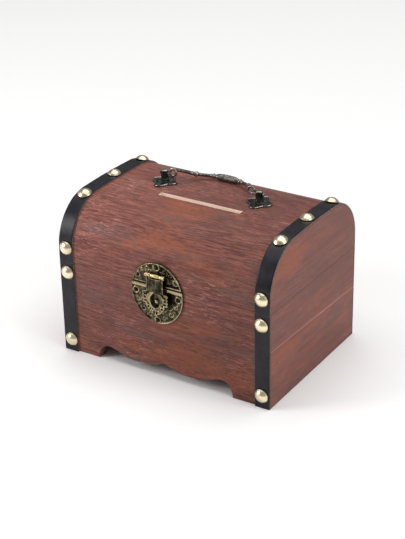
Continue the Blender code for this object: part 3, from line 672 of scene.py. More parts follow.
def make_studs():
    sphere = (STUD_RADIUS**2 + STUD_HEIGHT**2) / (2 * STUD_HEIGHT)
    rim = asin((STUD_RADIUS - 0.15 * MM) / sphere)
    profile = [(0.0, STUD_HEIGHT)]
    for i in range(1, 15):
        angle = rim * i / 14
        height = sphere * cos(angle) - sphere + STUD_HEIGHT
        profile.append((sphere * sin(angle), height))
    edge = profile[-1][1]
    profile += [(STUD_RADIUS, edge - 0.12 * MM), (STUD_RADIUS - 0.02 * MM, 0.06 * MM)]
    profile += [(STUD_RADIUS - 0.25 * MM, 0.0), (0.8 * MM, 0.0), (0.8 * MM, -5 * MM), (0.0, -6.5 * MM)]
    straps = []
    for side, _ in SIDES:
        straps += [("lid", f"lid_strap_{side}"), ("base", f"base_strap_front_{side}"),
                   ("base", f"base_strap_back_{side}")]
    places = [(body, *place) for body, strap in straps for place in strap_studs(strap)]
    for number, (body, node, seat, outward) in enumerate(places):
        def dent(radius, height, angle):
            if height <= 0.2 * MM:
                return radius, height
            at = Vector((radius * cos(angle), radius * sin(angle), number * 0.05))
            return radius, height + noise.noise(at * 260) * 0.04 * MM

        shape = turned(profile, 48, facing(seat, outward), dent)
        metal_piece(node, "head", shape,
                    lambda co: min(1.0, 0.2 + (co - seat).dot(outward) / (0.9 * MM)),
                    "pale_brass", body, sharp=60)


# ------------------------------------------------------------------ metal relief


def resample(loop, spacing):
    """A closed loop's points, close to evenly spaced, keeping its corners."""
    points = []
    for (x0, y0), (x1, y1) in zip(loop, loop[1:] + loop[:1]):
        length = hypot(x1 - x0, y1 - y0)
        count = max(1, round(length / spacing))
        points += [(x0 + (x1 - x0) * i / count, y0 + (y1 - y0) * i / count) for i in range(count)]
    return points


def distance_to(points, path, closed=False):
    """Each point's distance to a path of straight stretches."""
    ends = np.array(path + path[:1] if closed else path, float)
    near = np.full(len(points), 1e9)
    for start, end in zip(ends[:-1], ends[1:]):
        run = end - start
        share = ((points - start) @ run) / max(run @ run, 1e-18)
        foot = start + np.clip(share, 0, 1)[:, None] * run
        near = np.minimum(near, np.hypot(*(points - foot).T))
    return near


def inside(points, loop):
    """True for each point inside a closed loop."""
    found = np.zeros(len(points), bool)
    x, y = points.T
    for (x0, y0), (x1, y1) in zip(loop, loop[1:] + loop[:1]):
        if y0 == y1:
            continue
        crosses = (y0 > y) != (y1 > y)
        found ^= crosses & (x < (x1 - x0) * (y - y0) / (y1 - y0) + x0)
    return found


def fill(loops, spacing, interior):
    """Triangles between an outline and its holes: (points, faces, rims)."""
    rims = [resample(loop, spacing) for loop in loops]
    points, edges, starts = [], [], []
    for rim in rims:
        start = len(points)
        starts.append((start, len(rim)))
        points += rim
        edges += [(start + i, start + (i + 1) % len(rim)) for i in range(len(rim))]
    if interior:
        low, high = np.min(rims[0], axis=0), np.max(rims[0], axis=0)
        rows = int((high[1] - low[1]) / (spacing * 0.866)) + 1
        columns = int((high[0] - low[0]) / spacing) + 2
        grid = np.array([
            (low[0] + (i + 0.5 * (j % 2)) * spacing, low[1] + (j + 0.5) * 0.866 * spacing)
            for j in range(rows)
            for i in range(columns)
        ])
        keep = inside(grid, rims[0])
        for rim in rims:
            keep &= distance_to(grid, rim, closed=True) > 0.45 * spacing
        for rim in rims[1:]:
            keep &= ~inside(grid, rim)
        points += [tuple(p) for p in grid[keep]]
    made = geometry.delaunay_2d_cdt([Vector(p) for p in points], edges, [], 1, 1e-9)
    corners = np.array([v[:] for v in made[0]])
    faces = [f for f in made[2] if len(f) == 3]
    middles = np.array([corners[list(f)].mean(0) for f in faces])
    keep = inside(middles, rims[0])
    for rim in rims[1:]:
        keep &= ~inside(middles, rim)
    assert len(corners) == len(points)
    return corners, [f for f, k in zip(faces, keep) if k], starts


def relief(shape, loops, spacing, back, height, place):
    """Adds a closed plate to shape. height(points) gives its front's height over the outline's plane.
    Returns how bright each point it adds is: rubbed, with painted shade in places."""
    points, faces, starts = fill(loops, spacing, True)
    levels, wear_and_painted_shade = height(points)
    front = [shape.verts.new(place(u, v, h)) for (u, v), h in zip(points, levels)]
    for face in faces:
        shape.faces.new([front[i] for i in face])
    count = sum(length for _, length in starts)
    rear = [shape.verts.new(place(u, v, back)) for u, v in points[:count]]
    _, rear_faces, _ = fill(loops, spacing, False)
    for face in rear_faces:
        shape.faces.new([rear[i] for i in reversed(face)])
    for start, length in starts:
        for i in range(length):
            a, b = start + i, start + (i + 1) % length
            shape.faces.new((front[a], front[b], rear[b], rear[a]))
    return list(wear_and_painted_shade) + [0.15] * count


def wire(distance, half_width, tall):
    """The height of a rounded wire at a distance from its middle."""
    return tall * np.sqrt(np.clip(1 - (distance / half_width) ** 2, 0, 1))


def raised(level, to, where):
    return np.where(where, np.maximum(level, to), level)


def step(value, low, high):
    share = np.clip((value - low) / (high - low), 0, 1)
    return share * share * (3 - 2 * share)


def arc_points(centre, radius, start, end, count=24, grow=1.0):
    """Points round a centre from start to end degrees. grow scales the radius by the end."""
    points = []
    for i in range(count + 1):
        share = i / count
        angle = radians(start + (end - start) * share)
        reach = radius * (1 + (grow - 1) * share)
        points.append((centre[0] + reach * cos(angle), centre[1] + reach * sin(angle)))
    return points


def mirrored(paths):
    return paths + [[(-u, v) for u, v in path] for path in paths]


# ----------------------------------------------------------------------- latch

lower_low, lower_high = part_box("latch_lower_plate")
LATCH_HALF_WIDTH = (lower_high.x - lower_low.x) / 2
LATCH_HALF_HEIGHT = 24.3 * MM
LATCH_X = (lower_low.x + lower_high.x) / 2
LATCH_Z = lower_low.z + LATCH_HALF_HEIGHT
PLATE_FACE = 1.2 * MM
PLATE_BACK = -(PLATE_FACE - GAP) / MM
PLATE_SPACING = 0.34
SPLIT = (PARTING_Z - LATCH_Z) / MM
HASP_AXIS = middle("hasp_pin")
HASP_TURN = along_x(HASP_AXIS)
KNUCKLE_RADIUS = 1.4 * MM
NAIL_SPOTS = {
    "upper": {"left": (-16.3, 12.1), "right": (16.3, 12.1), "top": (0.0, 21.0)},
    "lower": {"left": (-18.2, -0.9), "right": (18.2, -0.9), "bottom": (0.0, -21.4)},
}


def latch_place(u, v, height):
    """A point of the latch, in mm from its centre, at a height over the plates' face."""
    return Vector((LATCH_X + u * MM, -HALF_DEPTH - PLATE_FACE - height * MM, LATCH_Z + v * MM))


def latch_loop(top, bottom):
    """The latch's oval cut off at a height, in mm."""
    a, b = LATCH_HALF_WIDTH / MM, LATCH_HALF_HEIGHT / MM
    if top is not None:
        start, end = pi - asin(top / b), 2 * pi + asin(top / b)
    else:
        start, end = asin(bottom / b), pi - asin(bottom / b)
    count = 96
    angles = [start + (end - start) * i / count for i in range(count + 1)]
    return [(a * cos(t), b * sin(t)) for t in angles]


def plate_height(points, loop, wires, pads, field):
    """A plate's relief, in mm over its face: a bead round the rim, wires and pads."""
    edge = distance_to(points, loop, closed=True)
    level = np.full(len(points), -0.25)
    level += 0.06 * np.array([noise.noise(Vector((u * 1.3, v * 1.3, 0.0))) for u, v in points])
    rim = wire(np.abs(edge - 0.6), 0.6, 0.65) - 0.2
    level = np.maximum(level, rim)
    for path, half_width, tall in wires:
        drop = distance_to(points, path)
        level = np.maximum(level, wire(drop, half_width, tall + 0.2) - 0.2)
    for pad in pads:
        level = np.maximum(level, pad(points))
    level -= 0.35 * (1 - step(edge, 0.0, 0.35))
    # The rim stays bright only on the right and is dulled towards the left.
    dulled = np.where(edge < 1.3, 0.4 * (1 - step(points[:, 0], -6.0, 12.0)), 0.0)
    ground = field(points)
    shade = np.where(ground < 0.15, 0.25 * (edge > 1.3), 0.0)
    return level, np.maximum(step(level, -0.12, 0.48) - dulled - shade, ground)


def rings(spots, radius):
    return [arc_points(spot, radius, 0, 360, 32) for spot in spots]


def drawn(paths, half_width, tall):
    return [(path, half_width, tall) for path in paths]


def leaf(tip, base, half_width, tall):
    """A raised pointed leaf with a groove along its middle."""
    start, end = np.array(base), np.array(tip)
    run = end - start
    length = hypot(*run)

    def raise_leaf(points):
        along = ((points - start) @ run) / length**2
        off = np.abs((points - start) @ np.array((-run[1], run[0]))) / length
        room = half_width * np.sin(np.pi * np.clip(along, 0, 1) ** 0.8) + 1e-6
        share = np.where((along > 0) & (along < 1), off / room, 9)
        groove = 0.25 * (1 - step(off, 0.0, 0.3)) * (share < 1)
        return wire(share, 1.0, tall + 0.25) - 0.25 - groove
    return raise_leaf


def mirrored_leaves(*leaves):
    return [leaf((sign * tip[0], tip[1]), (sign * base[0], base[1]), half_width, tall)
            for tip, base, half_width, tall in leaves
            for sign in (-1, 1)]


def bar(low_u, high_u, low_v, high_v, tall):
    """A raised flat bar, on both sides of the middle."""
    def raise_bar(points):
        u, v = np.abs(points[:, 0]), points[:, 1]
        across = step(v, low_v, low_v + 0.4) * (1 - step(v, high_v - 0.4, high_v))
        along = step(u, low_u, low_u + 0.5) * (1 - step(u, high_u - 0.5, high_u))
        return -0.25 + (tall + 0.25) * across * along
    return raise_bar


def patina_and_painted_shadow(points):
    """How bright a plate's ground is: dark above on the right, with painted shadow to the right of the
    hasp's wing, a lighter tab, greyer elsewhere.
    """
    u, v = points.T
    above = step(u, -2.0, 6.0) * step(v, 5.0, 8.0)
    # Painted shadow of the hasp, on the ground to the right of its wing.
    beside = step(u, 7.0, 9.0) * (1 - step(u, 14.0, 16.0))
    beside *= step(v, -10.0, -8.0) * (1 - step(v, 4.5, 6.0))
    tab = step(u, 8.0, 9.5) * (1 - step(u, 17.5, 19.0)) * step(v, 9.6, 10.2) * (1 - step(v, 14.0, 15.0))
    return 0.34 - 0.34 * above - 0.2 * beside + 0.36 * tab


def make_plate(part, body, loop, wires, pads):
    shape = bmesh.new()
    wear_and_painted_shade = relief(shape, [loop], PLATE_SPACING, PLATE_BACK,
                  lambda points: plate_height(points, loop, wires, pads, patina_and_painted_shadow), latch_place)
    if part == "upper":
        wear_and_painted_shade += add_knuckle(shape, -3.5 * MM, 3.5 * MM)
        wear_and_painted_shade += add_web(shape)
    metal_piece(f"latch_{part}_plate", "relief", shape, wear_and_painted_shade, "old_brass", body)


def make_plates():
    left, right, top = NAIL_SPOTS["upper"].values()
    wires = drawn(rings([top], 2.6), 0.5, 0.42)
    wires += drawn(mirrored([
        arc_points((7.2, 18.4), 2.5, -60, 330, 36, 0.25),
        arc_points((4.2, 12.6), 5.4, 62, 100, 12),
        arc_points((12.2, 16.6), 1.7, 200, -150, 30, 0.3),
        arc_points((8.5, 10.4), 9.4, 22, 62, 16),
    ]), 0.42, 0.34)
    wires += drawn(rings([left, right], 2.1), 0.4, 0.3)
    pads = mirrored_leaves(((20.0, 9.8), (14.6, 16.6), 1.1, 0.34), ((3.0, 18.6), (6.2, 14.6), 0.9, 0.3))
    pads += [bar(9.0, 18.4, 9.9, 14.3, 0.05), bar(8.6, 21.4, SPLIT + 0.4, SPLIT + 1.2, 0.1)]
    make_plate("upper", "lid", latch_loop(None, SPLIT + 0.3), wires, pads)

    wires = drawn(rings(NAIL_SPOTS["lower"].values(), 2.4), 0.5, 0.42)
    wires += drawn(mirrored([
        arc_points((15.6, -7.6), 2.3, 70, -300, 36, 0.25),
        arc_points((11.6, -14.2), 2.5, 40, -320, 36, 0.3),
        arc_points((6.0, -18.2), 1.7, 120, -240, 30, 0.4),
        arc_points((9.6, -7.0), 4.2, -110, 20, 20),
        arc_points((19.4, -9.4), 4.2, 110, 172, 12),
    ]), 0.42, 0.34)
    pads = mirrored_leaves(((17.6, -13.0), (13.0, -10.6), 1.0, 0.32),
                           ((9.0, -20.2), (8.2, -16.6), 0.9, 0.3),
                           ((3.4, -16.2), (8.2, -11.2), 1.0, 0.3))
    pads += [bar(8.4, 22.4, SPLIT - 3.4, SPLIT - 0.3, 0.5)]
    make_plate("lower", "base", latch_loop(SPLIT - 0.3, None), wires, pads)


def add_turned(shape, profile, steps, place, wear_and_painted_shade, wobble=None):
    """Adds a turned solid to shape and returns its points' wear: a number, or a function
    of a point's place."""
    before = len(shape.verts)
    turned(profile, steps, place, wobble, shape)
    added = list(shape.verts)[before:]
    return [wear_and_painted_shade(v.co) for v in added] if callable(wear_and_painted_shade) else [wear_and_painted_shade] * len(added)


def barrel_profile(low, high, radius, soft):
    """A round bar's profile along its axis, with rounded ends."""
    profile = [(0.0, high)]
    profile += [(radius - soft + soft * sin(t), high - soft + soft * cos(t))
                for t in (0, pi / 6, pi / 3, pi / 2)]
    profile += [(radius - soft + soft * sin(t), low + soft + soft * cos(t))
                for t in (pi / 2, 2 * pi / 3, 5 * pi / 6, pi)]
    return profile + [(0.0, low)]


def add_knuckle(shape, low, high, radius=KNUCKLE_RADIUS):
    return add_turned(shape, barrel_profile(low, high, radius, 0.25 * MM), 32, HASP_TURN, 1.2)


def add_web(shape):
    """The tongue that joins the middle knuckle to the upper plate."""
    half = 3.4 * MM
    near, far = -HALF_DEPTH - 0.6 * MM, HASP_AXIS.y
    corners = [
        shape.verts.new((LATCH_X + x, y, HASP_AXIS.z + z))
        for x in (-half, half)
        for y in (near, far)
        for z in (-0.9 * MM, 0.9 * MM)
    ]
    for face in ((0, 1, 3, 2), (4, 6, 7, 5), (0, 4, 5, 1), (2, 3, 7, 6), (0, 2, 6, 4), (1, 5, 7, 3)):
        shape.faces.new([corners[i] for i in face])
    return [0.5] * len(corners)


def hasp_loops():
    """The hasp's outline and its keyhole, in mm from the middle of its pin."""
    right = [(3.85, -1.75), (3.85, 0.0), (7.3, 0.0), (7.4, -12.2), (10.2, -12.6)]
    for i in range(1, 37):
        share = i / 36
        right.append((10.3 + 0.9 * abs(sin(3.5 * pi * share)), -12.6 - 9.4 * share))
    right += [(10.2, -22.3), (8.0, -22.7)]
    for i in range(1, 22):
        share = i / 22
        width = 7.9 * cos(pi / 2 * share) ** 0.8
        lobe = 0.7 * abs(sin(3.5 * pi * share)) * (1 - share)
        right.append((width + lobe, -22.8 - 8.8 * share))
    outline = right + [(0.0, -31.7)] + [(-u, v) for u, v in right[::-1]]
    keyhole = []
    for angle in around(40):
        rise = sin(angle)
        width = 4.0 if rise < 0.2 else 4.0 - 1.9 * (rise - 0.2)
        keyhole.append((width * cos(angle), -19.0 + 5.7 * rise))
    return outline, keyhole


def make_hasp():
    outline, keyhole = hasp_loops()
    back, face = 0.4, 1.4

    def place(u, v, height):
        return HASP_AXIS + Vector((u * MM, -height * MM, v * MM))

    scrolls = mirrored([
        arc_points((5.7, -25.0), 1.35, 0, 360, 24),
        arc_points((2.0, -26.0), 1.3, 0, 360, 24),
        arc_points((3.4, -28.6), 1.1, 20, 300, 20),
        [(0.0, -24.6), (0.0, -30.8)],
        arc_points((7.9, -22.9), 1.0, 0, 360, 20),
    ])

    def height(points):
        u, v = points.T
        edge = distance_to(points, outline, closed=True)
        hole = distance_to(points, keyhole, closed=True)
        level = np.full(len(points), face - 0.42)
        neck = step(v, -13.4, -12.8)
        stripes = 0.16 * np.cos(2 * pi * u / 1.25)
        level = np.maximum(level, (face - 0.22 + stripes) * neck)
        medal = 1 - step(np.hypot(u / 8.6, (v + 18.2) / 6.4), 0.88, 1.0)
        level = np.maximum(level, medal * (face - 0.12))
        rim = wire(hole - 0.9, 0.85, 0.5) + face - 0.3
        level = raised(level, rim, hole < 1.75)
        wings = (np.abs(u) > 7.4) & (v < -12.8) & (v > -22.4)
        flutes = face - 0.35 + 0.22 * np.abs(np.sin(3.5 * pi * (v + 12.6) / 9.4))
        level = raised(level, flutes, wings)
        border = wire(edge - 0.45, 0.5, 0.4) + face - 0.35
        level = raised(level, border, edge < 0.95)
        for path in scrolls:
            near = distance_to(points, path)
            level = raised(level, wire(near, 0.45, 0.55) + face - 0.4, near < 0.45)
        level -= 0.3 * (1 - step(edge, 0.0, 0.3)) + 0.45 * (1 - step(hole, 0.0, 0.5))
        level = np.minimum(level, face + 0.05)
        worn = step(level, face - 0.36, face + 0.02) * 0.85 + 0.05
        # The neck is duller, and the keyhole's rim right of its middle is darkened: painted shade that
        # widens the dark hole.
        worn *= 1 - 0.35 * neck - 0.45 * (hole < 1.75) * step(u, -2.0, 1.0)
        return level, worn

    shape = bmesh.new()
    wear_and_painted_shade = relief(shape, [outline, keyhole], 0.25, back, height, place)
    for sign in (-1, 1):
        low, high = sorted((sign * 3.85 * MM, sign * 7.9 * MM))
        wear_and_painted_shade += add_knuckle(shape, low, high)
        low, high = sorted((sign * 6.7 * MM, sign * 8.1 * MM))
        wear_and_painted_shade += add_knuckle(shape, low, high, 1.62 * MM)
    metal_piece("hasp", "relief", shape, wear_and_painted_shade, "old_brass", "hasp")

    shape = turned(barrel_profile(-8.3 * MM, 8.3 * MM, 0.75 * MM, 0.2 * MM), 20, HASP_TURN)
    metal_piece("hasp_pin", "turned", shape, 0.1, "old_brass", "lid", sharp=35)


def make_latch_nails():
    front = Vector((0, -1, 0))
    for part, body in (("upper", "lid"), ("lower", "base")):
        for spot, (u, v) in NAIL_SPOTS[part].items():
            profile = [(0.0, 0.85 * MM)]
            for i in range(1, 9):
                angle = pi / 2 * i / 8
                profile.append((1.3 * MM * sin(angle), 0.2 * MM + 0.65 * MM * cos(angle)))
            profile += [(1.25 * MM, 0.0), (0.5 * MM, 0.0), (0.45 * MM, -3 * MM), (0.0, -4 * MM)]
            metal_piece(f"latch_{part}_nail_{spot}", "head",
                        turned(profile, 24, facing(latch_place(u, v, -0.3), front)),
                        lambda co: 0.02 + 0.3 * step((co.y * -1 - HALF_DEPTH) / MM, 1.5, 1.8),
                        "old_brass", body)
    centre = middle("latch_post")
    tip = Vector((centre.x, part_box("latch_post")[0].y, centre.z))
    profile = [(0.0, 0.0), (0.7, -0.02), (1.2, -0.2), (1.45, -0.55), (1.5, -1.3), (0.6, -1.35),
               (0.5, -5), (0.0, -5.3)]
    shape = turned(in_mm(profile), 24, facing(tip, front))
    metal_piece("latch_post", "turned", shape, 0.95, "old_brass", "base")


# ---------------------------------------------------------------------- handle

left_low, left_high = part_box("handle_bracket_left")
right_low, right_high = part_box("handle_bracket_right")
HANDLE_X = (left_low.x + right_high.x) / 2
HANDLE_Y = (left_low.y + left_high.y) / 2
BRACKET_X = (right_low.x + right_high.x) / 2 - HANDLE_X
BRACKET_Z = left_low.z
BAIL_AXIS = Vector(next(j for j in frame["joints"] if j["child"] == "bail")["pos_m"])
BAIL_DROOP = radians(12.35)


def make_brackets():
    outline = []
    for angle in around(96):
        across, along = cos(angle), sin(angle)
        reach = 6.8 + (10.5 - 6.8) * across**6 + (11.8 - 6.8) * along**6
        outline.append((reach * across, reach * along))
    veins = []
    for turn in range(4):
        angle = turn * 90
        length = 11.0 if turn % 2 else 8.6
        ahead = radians(angle)
        tip = (length * cos(ahead), length * sin(ahead))
        veins.append([(0.35 * tip[0], 0.35 * tip[1]), (0.86 * tip[0], 0.86 * tip[1])])
        for lean in (-34, 34):
            far = radians(angle + lean)
            veins.append([(0.3 * tip[0], 0.3 * tip[1]), (5.4 * cos(far), 5.4 * sin(far))])

    def height(points):
        edge = distance_to(points, outline, closed=True)
        level = np.full(len(points), 0.62)
        for path in veins:
            level = np.maximum(level, 0.5 + wire(distance_to(points, path), 0.5, 0.45))
        level = raised(level, 0.55 + wire(edge - 0.5, 0.5, 0.5), edge < 1.0)
        wear_and_painted_shade = np.maximum(step(level, 0.75, 1.05) * (0.5 + 0.5 * (edge < 1.0)), 0.28)
        return level - 0.25 * (1 - step(edge, 0, 0.3)), wear_and_painted_shade

    nail_y = 8.2
    for side, sign in SIDES:
        foot = Vector((HANDLE_X + sign * BRACKET_X, HANDLE_Y, BRACKET_Z))
        shape = bmesh.new()
        wear_and_painted_shade = relief(shape, [outline], 0.42, 0.0, height,
                      lambda u, v, h: foot + Vector((u * MM, v * MM, h * MM)))
        for spot in (-nail_y, nail_y):
            matrix = Matrix.Translation(foot + Vector((0, spot * MM, 0.7 * MM)))
            dome = in_mm([(0.0, 0.75), (0.6, 0.66), (1.0, 0.4), (1.15, 0.0), (0.0, -0.4)])
            wear_and_painted_shade += add_turned(shape, dome, 20, matrix, 0.35)
        column = [(0.0, 10.2), (1.6, 10.15), (2.5, 9.9), (2.95, 9.5), (2.95, 9.2), (2.6, 8.9),
                  (2.35, 8.7), (2.7, 8.4), (2.6, 8.1)]
        column += [(2.62, 7.4 - 1.0 * i) for i in range(5)]
        column += [(2.7, 2.6), (3.1, 2.3), (3.1, 1.9), (2.8, 1.6), (3.3, 1.2), (3.5, 0.5), (0.0, 0.5)]

        def flute(radius, level, angle):
            if 2.6 * MM < level < 8.2 * MM:
                radius += 0.28 * MM * cos(8 * angle)
            return radius, level

        wear_and_painted_shade += add_turned(shape, in_mm(column), 64, Matrix.Translation(foot),
                           lambda co: 0.85 if co.z - foot.z > 9.4 * MM else 0.22, flute)
        metal_piece(f"handle_bracket_{side}", "cast", shape, wear_and_painted_shade, "dark_bronze", "lid")


BAIL_ROUTE = [
    # (distance out, reach, rise, radius) in mm along half of the bail, from its ring
    (32.0, 0.9, 3.3, 1.0), (30.5, 4.0, 3.4, 1.2), (28.0, 8.5, 2.2, 1.25), (26.0, 11.7, 1.3, 1.2),
    (24.9, 13.2, 0.9, 1.5), (24.3, 14.0, 0.7, 1.2), (23.6, 14.9, 0.5, 1.8), (22.8, 15.8, 0.4, 2.1),
    (22.0, 16.7, 0.3, 1.8), (21.4, 17.3, 0.2, 1.2), (20.8, 17.9, 0.1, 1.5), (20.0, 18.6, 0.0, 1.25),
    (16.5, 20.9, 0.0, 1.25), (14.4, 22.0, 0.0, 1.25), (13.6, 22.4, 0.0, 1.6), (12.8, 22.7, 0.0, 1.3),
    (12.0, 23.0, 0.0, 2.0), (11.2, 23.2, 0.0, 2.1), (10.4, 23.5, 0.0, 1.4), (9.6, 23.7, 0.0, 1.7),
    (8.2, 24.0, 0.0, 2.2), (6.5, 24.4, 0.0, 2.5), (4.0, 24.7, 0.0, 2.62), (0.0, 24.8, 0.0, 2.66),
]


def smooth_path(points, per_stretch=4):
    """Catmull-Rom points through the given ones, any number of coordinates each."""
    points = [np.array(p, float) for p in points]
    ends = [2 * points[0] - points[1], *points, 2 * points[-1] - points[-2]]
    made = []
    for a, b, c, d in zip(ends, ends[1:], ends[2:], ends[3:]):
        for i in range(per_stretch):
            t = i / per_stretch
            made.append(0.5 * (2 * b + (c - a) * t + (2 * a - 5 * b + 4 * c - d) * t**2
                               + (3 * b - a - 3 * c + d) * t**3))
    made.append(points[-1])
    return made


def sweep(shape, path, radii, sides, flute=None):
    """Adds a round rod along a path, with closed ends."""
    rings, turn = [], Vector((0, 0, 1))
    for i, point in enumerate(path):
        run = (path[min(i + 1, len(path) - 1)] - path[max(i - 1, 0)]).normalized()
        turn = (turn - run * turn.dot(run)).normalized()
        side = run.cross(turn)
        ring = []
        for angle in around(sides):
            radius = radii[i] * (flute(i, angle) if flute else 1.0)
            away = turn * cos(angle) + side * sin(angle)
            ring.append(shape.verts.new(point + away * radius))
        rings.append(ring)
    loft(shape, rings)
    shape.faces.new(rings[0][::-1])
    shape.faces.new(rings[-1])


BAIL_SIDES = 24
GRIP_HALF = 9.0
RING_RADIUS = 2.6
RING_ROD = 1.05
RING_SIDES = 16


def add_ring(shape, centre):
    """Adds one of the rings that the bail ends in."""
    loops = []
    for angle in around(40):
        out = Vector((cos(angle), 0, sin(angle)))
        loop = []
        for turn in around(RING_SIDES):
            off = Vector((0, RING_ROD * sin(turn), 0))
            point = centre + (out * (RING_RADIUS + RING_ROD * cos(turn)) + off) * MM
            loop.append(shape.verts.new(point))
        loops.append(loop)
    loft(shape, loops + loops[:1])
    return [0.75] * (len(loops) * RING_SIDES)


def make_bail():
    rows = BAIL_ROUTE + [(-out, *rest) for out, *rest in BAIL_ROUTE[-2::-1]]
    path, radii, outs = [], [], []
    for out, reach, rise, radius in smooth_path(rows):
        y = reach * cos(BAIL_DROOP) + rise * sin(BAIL_DROOP)
        z = rise * cos(BAIL_DROOP) - reach * sin(BAIL_DROOP)
        path.append(BAIL_AXIS + Vector((out, y, z)) * MM)
        radii.append(radius * MM)
        outs.append(abs(out))
    shape = bmesh.new()

    def flute(i, angle):
        grip = 1 if outs[i] < GRIP_HALF else 0
        return 1.0 + 0.025 * grip * cos(6 * angle)

    sweep(shape, path, radii, BAIL_SIDES, flute)
    wear_and_painted_shade = []
    for radius, out in zip(radii, outs):
        worn = 0.55 if out < GRIP_HALF else min(0.95, 0.45 + 0.6 * (radius / MM - 1.2))
        wear_and_painted_shade += [worn] * BAIL_SIDES
    knob = [(0.0, 45.2), (0.7, 45.1), (1.2, 44.8), (1.45, 44.4), (1.2, 43.95), (1.1, 43.85),
            (1.1, 36.0), (0.0, 35.6)]
    for sign in (-1, 1):
        wear_and_painted_shade += add_ring(shape, BAIL_AXIS + Vector((sign * 33.8, 0.6, 1.7)) * MM)
        wear_and_painted_shade += add_turned(shape, in_mm(knob), 24, along_x(BAIL_AXIS, sign), 0.6)
    metal_piece("handle_bail", "rod", shape, wear_and_painted_shade, "dark_bronze", "bail")


# --------------------------------------------------------------------- hinges

LEAF_HALF = 9.0 * MM
LEAF_TALL = 9.2 * MM
LEAF_THICKNESS = 0.8 * MM
LEAF_CORNER = 1.6 * MM
KNUCKLE_HALF = 3.0 * MM
KNUCKLE_ROOM = 1.95 * MM
HINGE_RADIUS = 1.6 * MM


def leaf_outline(up):
    """A hinge leaf's outline from its pin, up for the lid's and down for the base's."""
    half, inner, room = LEAF_HALF, KNUCKLE_HALF, KNUCKLE_ROOM
    if up < 0:
        inner += GAP
        edge = [(-half, 0.0), (-inner, 0.0), (-inner, -room), (inner, -room), (inner, 0.0), (half, 0.0)]
    else:
        edge = [(-half, room), (-inner, room), (-inner, 0.0), (inner, 0.0), (inner, room), (half, room)]
    across, along = half - LEAF_CORNER, up * LEAF_TALL - up * LEAF_CORNER
    edge += arc_points((across, along), LEAF_CORNER, 0, 90 * up, 8)
    return edge + arc_points((-across, along), LEAF_CORNER, 90 * up, 180 * up, 8)


def leaf_weight(a, b, angle):
    return 1.0 if angle > radians(60) and abs(a.y - b.y) < 1e-6 else 0.0


def make_hinges():
    front = HALF_DEPTH + GAP
    nail = [(0.0, 0.6)]
    nail += [(1.4 * sin(t), 0.08 + 0.52 * cos(t)) for t in (0.3, 0.6, 0.9, 1.2, 1.57)]
    nail += [(1.3, 0.0), (0.5, 0.0), (0.5, -4.0), (0.0, -4.6)]
    for side, _ in SIDES:
        low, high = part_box(f"hinge_{side}_pin")
        centre = (low + high) / 2
        turn = along_x(centre)
        for body, up in (("base", -1), ("lid", 1)):
            shape = prism(leaf_outline(up), front, front + LEAF_THICKNESS,
                          lambda u, v, w: (centre.x + u, w, centre.z + v))
            weigh_edges(shape, leaf_weight)
            outer = KNUCKLE_HALF + GAP
            knuckles = [(-KNUCKLE_HALF, KNUCKLE_HALF)]
            if up < 0:
                knuckles = [(-LEAF_HALF, -outer), (outer, LEAF_HALF)]
            for start, end in knuckles:
                add_turned(shape, barrel_profile(start, end, HINGE_RADIUS, 0.25 * MM), 32, turn, 0.8)
            metal_piece(f"hinge_{side}_{body}_leaf", "pressed", shape, 0.75, "hinge_brass", body,
                        sharp=40, bevel=0.18 * MM)
            for place, _ in SIDES:
                node = f"hinge_{side}_{body}_nail_{place}"
                spot = middle(node)
                matrix = facing(Vector((spot.x, front + LEAF_THICKNESS, spot.z)), Vector((0, 1, 0)))
                metal_piece(node, "head", turned(in_mm(nail), 24, matrix), 0.9, "hinge_brass", body)
        profile = barrel_profile(low.x - centre.x, high.x - centre.x, 0.85 * MM, 0.3 * MM)
        metal_piece(f"hinge_{side}_pin", "turned", turned(profile, 20, turn), 0.9, "hinge_brass",
                    "base", sharp=35)


# ------------------------------------------------------------ stage and camera


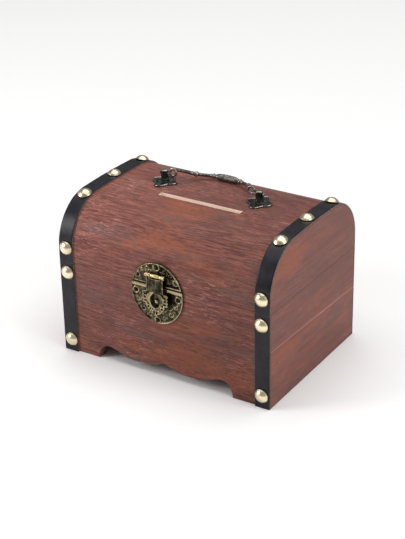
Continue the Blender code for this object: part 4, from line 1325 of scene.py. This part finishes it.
def make_stage():
    shape = bmesh.new()
    bmesh.ops.create_grid(shape, x_segments=2, y_segments=2, size=6.0)
    mesh = bpy.data.meshes.new("floor")
    shape.to_mesh(mesh)
    shape.free()
    floor = add_object("floor", mesh)
    shader = Shader("pale_floor", Roughness=0.9)
    shader.set("Base Color", (0.93, 0.93, 0.925, 1))
    mesh.materials.append(shader.material)


def area_light(name, place, target, size, power):
    data = bpy.data.lights.new(name, "AREA")
    data.shape = "RECTANGLE"
    data.size = data.size_y = size
    data.energy = power
    light = add_object(name, data)
    light.location = place
    light.rotation_mode = "QUATERNION"
    light.rotation_quaternion = (Vector(target) - Vector(place)).to_track_quat("-Z", "Y")


def make_lights():
    world = bpy.data.worlds.new("studio")
    bpy.context.scene.world = world
    world.use_nodes = True
    background = world.node_tree.nodes["Background"]
    background.inputs["Color"].default_value = (1.0, 0.995, 0.985, 1)
    background.inputs["Strength"].default_value = 0.27
    target = (0, 0, 0.06)
    area_light("key", (-0.85, -0.72, 0.5), target, 0.5, 6.5)
    area_light("fill", (1.25, -0.05, 0.75), target, 0.8, 7)
    area_light("top", (0.0, 0.4, 2.6), (0.0, 0.2, 0.0), 3.2, 62)


def make_camera():
    """The camera fitted to the photo."""
    azimuth, elevation, roll = (radians(a) for a in (32.538, 26.437, 1.2529))
    forward = Vector((-sin(azimuth) * cos(elevation),
                      cos(azimuth) * cos(elevation), -sin(elevation)))
    level = forward.cross(Vector((0, 0, 1))).normalized()
    down = forward.cross(level)
    right = level * cos(roll) + down * sin(roll)
    up = right.cross(forward)
    data = bpy.data.cameras.new("camera")
    data.sensor_width = 36.0
    data.lens = 97.57
    camera = add_object("camera", data)
    turn = Matrix((right, up, -forward)).transposed().to_4x4()
    camera.matrix_world = Matrix.Translation((0.526571, -0.833737, 0.551745)) @ turn
    bpy.context.scene.camera = camera


make_lid_board()
make_lid_ends()
make_end_panels()
make_panels()
make_straps()
make_studs()
make_plates()
make_hasp()
make_latch_nails()
make_brackets()
make_bail()
make_hinges()
# The bottom board shows only from above with the lid open, so its CAD node stays.
bottom = frame["nodes"]["bottom_board"].data
bottom.materials.clear()
bottom.materials.append(WOOD_X)
make_stage()
make_lights()
make_camera()
bpy.context.scene.view_settings.view_transform = "Standard"
